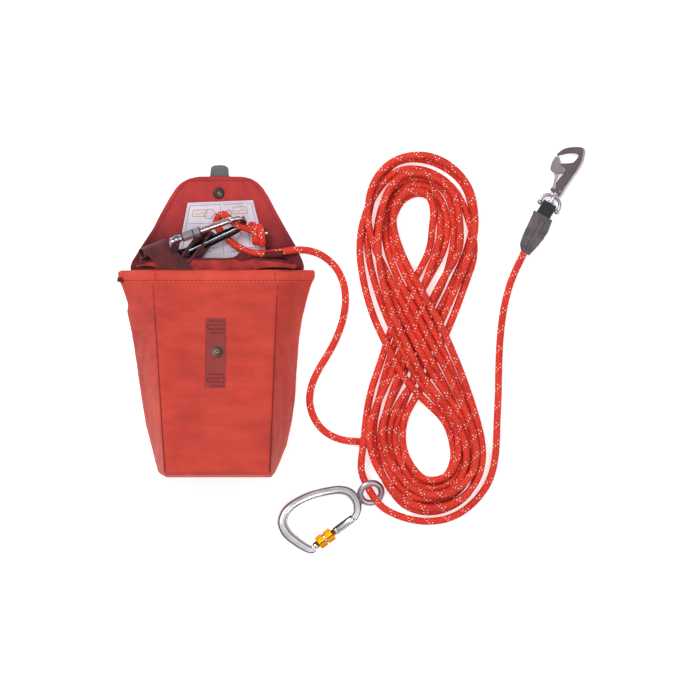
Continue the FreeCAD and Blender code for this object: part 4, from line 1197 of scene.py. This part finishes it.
def make_carry_strap():
    """The wide ribbed strap, which leaves the bag's mouth, rolls over at its end and returns underneath."""
    base, origin = np.array([-30.2, 43.5]), np.array([-66.0, 78.6])
    along, axis = unit(133.0), unit(22.0)
    across, over = np.array([along[1], -along[0]]), np.array([-axis[1], axis[0]])
    width, radius, top = 25.0, 6.6, 23.4
    grid, relief = [], []
    for s in np.linspace(0.0, 84.0, 76):
        row, ribs = [], []
        for w in np.linspace(-width / 2, width / 2, 79):
            flat = base + along * s + across * w - origin
            p, q = flat @ axis, flat @ over
            if q <= 0:
                place, z = p * axis + q * over, top
            elif q < math.pi * radius:
                place = p * axis + radius * math.sin(q / radius) * over
                z = top - radius + radius * math.cos(q / radius)
            else:
                place, z = p * axis - (q - math.pi * radius) * over, top - 2 * radius
            place = place + origin
            sink = 0.22 * max(0.0, 63.0 - place[1]) if z > top - radius else 0.0
            row.append((place[0], place[1], z - sink))
            ribs.append(0.22 * math.cos(FULL_TURN * w / 2.33))
        grid.append(row)
        relief.append(ribs)
    mesh = slab(grid, 1.5, np.array(relief))
    add_piece("carry_strap", mesh, "wide_webbing", "line", ("anchor_strap",))


def make_strap_roll():
    """The wide strap's rolled-up end, open towards the left, with painted shade on its inside."""
    sides = 44
    tunnel = [(0.0, 5.9), (10.5, 5.6), (11.0, 5.2), (10.9, 4.7), (7.0, 4.3), (0.5, 4.2), (0.4, 0.3)]
    mesh = spun_along(np.array([-73.6, 77.2, 12.4]), np.array([-0.76, -0.30, 0.575]), tunnel, sides)
    piece = add_piece("strap_roll", mesh, "wide_webbing lining", "line")
    # Painted shade: the faces inside the roll get the dark inner cloth.
    mark_faces(piece, lambda number: number // sides >= 3)


def make_clip_loop():
    """The narrow loop, which stands on its edge: two legs and a round top."""
    legs = [
        (-41.0, 58.0), (-31.0, 73.0), (-22.5, 85.0), (-16.5, 93.5), (-12.0, 98.2), (-7.0, 98.6),
        (-4.2, 94.6), (-7.0, 88.6), (-14.0, 79.5), (-22.0, 69.0), (-30.0, 57.0),
    ]
    line = flat_line(legs, 10)
    rows = []
    for index, (x, y, _) in enumerate(line):
        tilt = 8.4 if index / (len(line) - 1) < 0.5 else 7.6
        edges = np.linspace(-1.0, 1.0, 13)
        rows.append([(x + w * tilt * 0.44, y - w * tilt * 0.28, 14.9 - w * 7.6) for w in edges])
    add_piece("clip_loop", slab(rows, 1.4), "webbing", "line", ("carabiner_loop",))


def make_rope_band():
    """The keeper, a short band hugging the rope."""
    rows = []
    for x in np.linspace(53.5, 72.5, 24):
        middle = 73.1 + 0.07 * (x - 64.0)
        row = []
        for angle in np.linspace(-0.30 * math.pi, 1.12 * math.pi, 26):
            radius = 4.75 + 0.25 * smooth_noise(x, angle * 6, 91.0, 5.0)
            row.append((x, middle + radius * 0.86 * math.cos(angle), 8.8 + radius * math.sin(angle)))
        rows.append(row)
    add_piece("rope_band", slab(rows, 1.1), "binding", "line", ("rope_keeper",))


def make_knot():
    """The coil knot on the rope, and a crimped metal end that stands out of its side."""
    points = []
    for angle in np.linspace(-0.2 * math.pi, 3.3 * math.pi, 150):
        x = 39.4 + 7.2 * angle / FULL_TURN + 1.2 * math.sin(angle)
        y = 94.6 + 8.8 * math.cos(angle) - 1.0 * (angle / math.pi - 1.5)
        points.append((x, y, 13.8 + 4.8 * math.sin(angle)))
    mesh = tube_along(np.array(points) * MM, ROPE_RADIUS * MM, 20)
    add_piece("knot", mesh, "rope", "line", ("stopper_knot",))
    end = soft_line([(50.0, 94.5, 14.0), (53.0, 95.3, 14.4), (56.5, 96.4, 14.8)], 8)
    add_piece("crimp", tube_along(end * MM, 2.0 * MM, 18), "steel", "line")


def make_rope_end():
    """The sleeve on the rope's end, its stitches and seam, and the black webbing loop."""
    left = flat_line([(334.4, 77.4), (333.4, 85.4), (337.5, 96.8), (342.7, 108.2), (348.9, 121.7)], 8)
    right = flat_line([(343.4, 72.0), (351.0, 80.2), (356.2, 86.4), (363.5, 96.8), (368.7, 110.3)], 8)
    rings, sides, centre_z = len(left), 40, 4.9
    middle, half = (left + right) / 2, (right - left) / 2
    high = 4.7 - 0.9 * np.linspace(0.0, 1.0, rings)
    points = []
    for ring in range(rings):
        for index, angle in enumerate(turn_angles(sides)):
            flat, up = math.cos(angle), math.sin(angle)
            flat = math.copysign(abs(flat) ** 0.8, flat)
            up = math.copysign(abs(up) ** 0.9, up)
            seam = 1.0 - (0.42 * math.exp(-((flat - 0.12) / 0.09) ** 2) if up > 0 else 0.0)
            wrinkle = 1.0 + 0.05 * smooth_noise(ring * 1.2, index * 1.4, 95.0, 4.0)
            x, y, _ = middle[ring] + half[ring] * flat * wrinkle
            z = max(0.2, centre_z + high[ring] * up * seam * wrinkle)
            points.append((x * MM, y * MM, z * MM))
    faces = ring_faces(rings, sides) + end_faces(rings, sides)
    down = [ring * 0.0014 for ring in range(rings)]
    around = [index / sides * 0.05 for index in range(sides + 1)]
    uvs = ring_uvs(down, around)
    uvs += [(0.0, 0.0)] * (2 * sides)
    add_piece("end_cover", mesh_from(points, faces, uvs), "sleeve", "line", ("end_sleeve",))
    for number, offset in enumerate((-0.12, 0.36)):
        path = middle + half * offset
        path[:, 2] = centre_z + high * math.sqrt(1 - offset ** 2) + 0.1
        row = stitches(path[3: rings - 2], 2.8, 2.0, 0.28)
        add_piece("end_stitches_%d" % number, row, "thread_grey", "line")
    seam = middle + half * 0.12
    seam[:, 2] = centre_z + 0.62 * high
    mesh = tube_along(seam[1: rings - 1] * MM, 0.8 * MM, 8)
    add_piece("end_seam", mesh, "thread_grey", "line")
    profile = [(-13.0, 6.9)] + [(u, 7.0) for u in np.linspace(-10.0, -1.0, 8)]
    for angle in np.linspace(0.5 * math.pi, -0.5 * math.pi, 15):
        profile.append((4.4 * math.cos(angle), 4.6 + 3.1 * math.sin(angle)))
    profile += [(u, 1.7) for u in np.linspace(-1.0, -13.0, 9)]
    grid = []
    for u, z in profile:
        places = [BAR_PLACE + CLIP_WAY * u - CLIP_SIDE * w for w in np.linspace(-7.6, 7.6, 17)]
        grid.append([(place[0], place[1], z) for place in places])
    replaced = ("end_webbing_loop",)
    add_piece("end_loop", slab(grid, 1.3), "black_webbing", "line", replaced)


# ---------------------------------------------------------------- carabiners, ring and hook clip
def make_lock_carabiner():
    """The locking carabiner's forged frame, its sleeve with the knurled rings, and its gate, with painted
    shade on the frame's edges and the gate's sides.
    """
    nose, way = np.array([103.1, -250.8, 7.35]), np.array([0.805, 0.593, 0.0])
    line = soft_line([
        (150.6, -217.6, 7.4), (154.6, -209.0, 7.4), (153.6, -198.0, 7.3), (146.6, -188.6, 7.2),
        (135.6, -185.2, 7.2), (120.6, -186.9, 7.2), (103.4, -191.4, 7.2), (88.0, -198.8, 7.2),
        (76.2, -208.6, 7.2), (71.8, -221.4, 7.2), (76.9, -233.2, 7.2), (87.2, -242.2, 7.2),
        (96.6, -248.4, 7.2), (104.0, -251.6, 7.2), (107.2, -249.6, 7.3),
    ], 9)
    widths = (4.3, 4.9, 5.3, 5.2, 4.8, 4.8, 5.4, 6.0, 5.6, 4.9, 4.1)
    heights = (4.2, 4.6, 4.8, 4.8, 4.6, 4.6, 4.8, 5.0, 4.8, 4.6, 4.2)
    mesh = swept_bar(line, widths, heights)
    replaced = ("lock_carabiner_frame",)
    piece = add_piece("lock_frame", mesh, "alloy shade", "lock_frame", replaced)
    # Painted shade: dark lines along the frame's edges.
    mark_faces(piece, lambda number: number % BAR_SIDES in (0, 1, 4, 9, 13, 14, 27))
    centre, _ = box_middle(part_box("lock_carabiner_sleeve"))
    start = (centre - nose) @ way - 9.6
    sleeve = [
        (0.0, 3.7), (0.0, 6.4), (0.8, 7.2), (8.4, 7.2), (8.8, 6.7), (10.2, 6.7), (10.6, 7.2), (18.4, 7.2),
        (19.2, 6.4), (19.2, 3.7),
    ]
    sides = 72
    mesh = spun_along(nose + way * start, way, sleeve, sides, 12)
    replaced = ("lock_carabiner_sleeve",)
    piece = add_piece("lock_sleeve", mesh, "orange alloy", "lock_sleeve", replaced, False)
    mark_faces(piece, lambda number: number // sides == 4)
    gate = [
        (5.0, 0.5), (5.0, 3.4), (5.6, 3.8), (10.0, 3.8), (10.0, 3.5), (33.0, 3.5), (33.4, 4.3),
        (35.0, 4.45), (35.3, 4.1), (36.2, 4.1), (36.5, 4.45), (55.0, 4.4), (57.6, 4.1), (59.4, 2.8),
        (59.6, 0.5),
    ]
    gate_sides = 40
    # Painted shade on two sides of the gate.
    shaded = (*range(7), *range(16, 22), *range(36, 40))
    mesh = spun_along(nose, way, gate, gate_sides)
    replaced = ("lock_carabiner_gate",)
    piece = add_piece("lock_gate", mesh, "bright shade", "lock_gate", replaced)
    mark_faces(piece, lambda number: number % gate_sides in shaded)


def make_ring():
    """The welded ring at the hank's foot, tipped over the rope."""
    centre, _ = box_middle(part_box("rope_ring"))
    along = np.array([0.4825, -0.876, 0.0])
    across = np.array([-0.876, -0.4825, 0.0])
    tilt = math.radians(24.6)
    tipped = along * math.cos(tilt) - np.array([0.0, 0.0, math.sin(tilt)])
    circle = []
    for angle in np.linspace(0, FULL_TURN, 90):
        circle.append(centre + 11.9 * (tipped * math.cos(angle) + across * math.sin(angle)))
    mesh = tube_along(np.array(circle) * MM, 3.6 * MM, 24)
    add_piece("ring", mesh, "steel", "ring", ("rope_ring",))


def make_anchor_carabiner():
    """The carabiner on the straps: it stands leaning on its spine, with its gate on top."""
    origin = np.array([-35.6, 91.1, 38.4])
    along = np.array([0.942, 0.336, 0.0])
    lean = math.radians(58.0)
    inward = np.array([along[1], -along[0], 0.0]) * math.cos(lean) - np.array([0.0, 0.0, math.sin(lean)])
    out = np.cross(along, inward)

    def spots(pairs):
        return np.array([origin + along * s + inward * t for s, t in pairs])

    def straight(start, stop, count, across=0.0):
        return spots([(s, across) for s in np.linspace(start, stop, count)])

    line = soft_line(spots([
        (52.0, 0.2), (60.0, 0.4), (66.2, 3.0), (68.0, 8.6), (65.5, 15.0), (57.0, 20.0), (40.0, 23.2),
        (16.0, 27.4), (-3.0, 29.6), (-11.2, 26.6), (-14.2, 18.0), (-13.2, 8.0), (-9.8, 2.0), (-5.0, 0.3),
        (-0.6, 0.2),
    ]), 8)
    widths = (2.5, 2.7, 3.1, 4.0, 5.4, 5.4, 4.8, 4.8, 5.0, 4.6, 2.8)
    heights = (2.7, 2.8, 3.0, 3.4, 3.9, 3.9, 3.9, 3.9, 4.2, 4.2, 3.0)

    def frame_finish(number):
        """The finish of a face: bright at the bar's ends, painted shade on its sides along the first
        stretch.
        """
        ring, side = divmod(number, BAR_SIDES)
        if ring < 16 or ring > 105:
            return 1
        return 2 if ring < 84 and side in (0, 1, 13, 14, 27) else 0

    mesh = swept_bar(line, widths, heights, out, 0.6, 0.3)
    replaced = ("anchor_carabiner_frame",)
    piece = add_piece("anchor_frame", mesh, "blue_grey bright black", "line", replaced)
    mark_faces(piece, frame_finish)
    mesh = swept_bar(straight(0.4, 56.0, 12), (2.6, 2.6), (2.9, 2.9), out, 0.35, 0.0)
    replaced = ("anchor_carabiner_gate",)
    add_piece("anchor_gate", mesh, "bright", "anchor_gate", replaced)
    mesh = swept_bar(straight(-1.0, 20.4, 20), (3.9, 3.9), (4.3, 4.3), out, 0.35, 0.0)
    replaced = ("anchor_carabiner_sleeve",)
    piece = add_piece("anchor_sleeve", mesh, "plastic black", "anchor_sleeve", replaced)
    mark_faces(piece, lambda number: number // BAR_SIDES in (0, 11, 18))
    mesh = swept_bar(straight(-14.0, -10.0, 6, 0.4), (3.3, 3.3), (3.5, 3.5), out, 0.6, 0.0)
    add_piece("anchor_knob", mesh, "bright", "line")


def make_hook():
    """The hook clip's wide plate, and the thumb pad, the lever and the latch of its gate."""
    body = [
        (374.0, 183.0), (376.9, 186.0), (381.0, 188.8), (386.5, 190.5), (393.8, 191.2), (400.1, 190.8),
        (403.3, 189.4), (404.9, 186.7), (404.2, 180.6), (402.2, 173.3), (398.8, 166.5), (393.8, 158.7),
        (388.3, 151.0), (382.8, 142.8), (379.4, 136.9), (376.7, 136.4), (371.5, 140.1), (366.9, 143.5),
        (367.9, 146.6), (371.8, 149.4), (374.4, 154.2), (380.1, 160.5), (382.8, 164.8), (381.4, 168.3),
        (378.3, 171.6), (378.7, 172.7), (389.2, 173.5), (392.8, 175.1), (396.5, 179.2), (397.4, 182.4),
        (394.7, 184.0), (386.5, 184.0), (379.7, 182.6), (376.7, 182.2), (375.4, 180.6),
    ]
    pad = [
        (371.7, 180.3), (373.5, 180.6), (375.6, 178.3), (377.1, 172.8), (381.7, 166.0), (380.6, 161.6),
        (372.4, 161.7), (370.4, 162.1), (366.5, 166.0), (367.8, 172.8), (369.6, 176.9),
    ]
    lever = [
        (371.3, 162.5), (375.7, 162.5), (375.2, 158.7), (372.9, 152.4), (372.6, 146.0), (370.6, 144.6),
        (368.7, 145.5), (369.9, 151.5), (371.0, 157.8),
    ]
    latch = [(374.9, 180.3), (376.3, 180.1), (378.4, 172.6), (377.4, 170.4), (375.8, 172.8)]
    mesh, rim = plate(body, 1.5, 7.2, 0.6, 2.2, 6, 15)
    piece = add_piece("hook_plate", mesh, "grey steel", "hook", ("clip_hook",), False)
    mark_faces(piece, lambda number: number in rim)
    for name, outline, low, high, bevel, finish, replaced in (
        ("hook_pad", pad, 7.5, 10.2, 0.6, "plastic", ("hook_gate_pad",)),
        ("hook_lever", lever, 7.35, 8.6, 0.3, "steel", ("hook_gate",)),
        ("hook_latch", latch, 7.35, 8.2, 0.2, "steel", ()),
    ):
        mesh, _ = plate(outline, low, high, bevel)
        add_piece(name, mesh, finish, "hook_gate", replaced, False)


def make_shackle():
    """The hook clip's shackle: its bow, a ball at each end and the swivel collar."""
    bow = soft_line([BAR_PLACE + CLIP_WAY * u + CLIP_SIDE * w for u, w in (
        (-0.6, 11.0), (4.0, 11.3), (8.6, 9.9), (11.8, 6.2), (12.9, 2.0), (12.9, -2.0), (11.8, -6.2),
        (8.6, -9.9), (4.0, -11.3), (-0.6, -11.0),
    )], 8)
    mesh = tube_along(bow * MM, 1.95 * MM, 20)
    add_piece("clip_bow", mesh, "steel", "shackle", ("clip_shackle",))
    ball = [(2.9 * math.sin(a), -2.9 * math.cos(a)) for a in np.linspace(0.05, math.pi - 0.05, 14)]
    for key, offset in (("left", 11.0), ("right", -11.0)):
        mesh = lathe(ball, BAR_PLACE + CLIP_SIDE * offset)
        add_piece("bow_end_" + key, mesh, "steel", "shackle")
    collar = [BAR_PLACE + CLIP_WAY * u for u in np.linspace(13.0, 15.9, 5)]
    mesh = swept_bar(collar, (5.6, 5.6), (4.0, 4.0), power=0.5, groove=0.0)
    add_piece("swivel_collar", mesh, "steel", "shackle")


# ---------------------------------------------------------------- finishes
def dress(names, finish):
    """Gives carried-over parts their finish."""
    for name in names:
        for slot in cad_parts[name].material_slots:
            slot.material = finishes[finish]


def make_finishes():
    fine = {"weave_mm": 0.5, "weave_depth": 0.02}
    printed = {"weave_mm": 0.5, "blotch_mm": 20.0, "roughness": 0.5}
    ink = {**printed, "weave_depth": 0.01, "sheen": 0.0, "crease_depth": 0.1}
    return {
        "cloth": fabric("brick_cloth", (206, 68, 52), (186, 56, 45), crease_depth=1.4, fold_shade=0.14,
                        stretch=(0.35, 1.0, 0.9)),
        "hem": fabric("hem_cloth", (216, 76, 60), (202, 66, 53), crease_depth=1.2, fold_shade=0.12),
        # The flap's dark tone and its darkening from y 150 down to 70 mm are painted shade.
        "flap": fabric("flap_cloth", (186, 56, 54), (110, 27, 33), blotch_mm=40.0, crease_depth=1.4,
                       fold_shade=0.12, shading=(70.0, 150.0)),
        # Dark cloth for the bag's inside, the collar's openings and the strap roll's inside: painted shade.
        "lining": fabric("painted_inner_shade", (70, 22, 24), (44, 14, 17)),
        "thread": fabric("maroon_thread", (126, 34, 32), (104, 26, 26), **fine),
        "webbing": webbing("maroon_webbing", (104, 36, 38), (80, 26, 28), sheen=0.08),
        "tab_webbing": webbing("tab_webbing", (156, 48, 40), (138, 40, 35), sheen=0.05, depth=0.2),
        "wide_webbing": webbing("ribbed_webbing", (114, 37, 41), (80, 24, 28), 2.33, depth=0.5, sheen=0.12),
        "binding": fabric("maroon_binding", (104, 28, 34), (84, 20, 26), weave_mm=0.7, weave_depth=0.1),
        "grey_webbing": webbing("grey_webbing", (118, 116, 114), (92, 90, 90), 1.6),
        "black_webbing": webbing("black_webbing", (38, 38, 42), (22, 22, 25), 1.5),
        "sheet": fabric("printed_sheet", (226, 218, 228), (204, 196, 210), **printed, weave_depth=0.02,
                        sheen=0.05, crease_depth=0.15),
        "grey_ink": fabric("grey_ink", (150, 142, 156), (130, 122, 138), **ink),
        "tan_ink": fabric("tan_ink", (206, 166, 96), (190, 146, 84), **ink),
        "sleeve": fabric("grey_sleeve", (124, 115, 121), (92, 84, 90), weave_mm=1.1, weave_depth=0.25,
                         blotch_mm=12.0, fold_shade=0.1),
        "alloy": metal("polished_alloy", (224, 220, 224), 0.22, 0.05),
        "bright": metal("bright_alloy", (224, 222, 224), 0.16),
        "steel": metal("ring_steel", (186, 176, 186), 0.34, 0.05),
        "pins": metal("steel_pins", (176, 174, 178), 0.3),
        "snap": metal("snap_metal", (72, 64, 62), 0.36),
        "orange": metal("orange_anodised", (238, 150, 22), 0.28),
        "grey": metal("grey_anodised", (106, 94, 98), 0.45, 0.05, metallic=0.7),
        "blue_grey": metal("blue_grey_alloy", (150, 162, 176), 0.24, 0.05),
        "brass": metal("socket_brass", (150, 126, 84), 0.35),
        "collar": fabric("collar_cloth", (184, 50, 46), (130, 32, 34), blotch_mm=18.0, crease_depth=1.2,
                         fold_shade=0.14),
        "thread_grey": fabric("grey_thread", (70, 64, 70), (58, 52, 58), **fine),
        "pale_thread": fabric("pale_thread", (190, 178, 192), (176, 164, 178), **fine),
        "plastic": metal("grey_gate", (140, 130, 135), 0.5, metallic=0.2),
        # Black for the anchor sleeve's bands, and painted shade on the anchor frame's sides.
        "black": metal("black_steel_and_painted_shade", (40, 36, 38), 0.4),
        # A dark alloy for painted shade on the locking carabiner's frame edges and gate sides.
        "shade": metal("painted_shade_alloy", (84, 80, 86), 0.4),
        "rope": rope_material(),
    }


# ---------------------------------------------------------------- the picture
make_camera()
make_studio()
finishes = make_finishes()
dress(("shackle_bar", "swivel_post"), "steel")
dress(("anchor_carabiner_gate_pin", "lock_carabiner_gate_pin", "hook_rivets", "hook_gate_pin"), "pins")
dress(("snap_stud", "stud_rivet", "snap_socket", "snap_cap"), "snap")
rope_path = rope_line()
rope_mesh = tube_along(rope_path, ROPE_RADIUS * MM, 16)
rope_parts = ("rope_lead", "rope_tail", "rope_hank")
rope = add_piece("rope", rope_mesh, "rope", "line", rope_parts)
make_shell()
make_hem()
make_seam("left", LEFT_SEAM, -1.0)
make_seam("right", RIGHT_SEAM, 1.0)
make_side_label()
make_front_tab()
make_flap_cloth()
make_flap_stitches()
make_sheet()
make_pull_loop()
make_socket_well()
make_collar()
make_carry_strap()
make_strap_roll()
make_clip_loop()
make_rope_band()
make_knot()
make_lock_carabiner()
make_ring()
make_anchor_carabiner()
make_hook()
make_shackle()
make_rope_end()
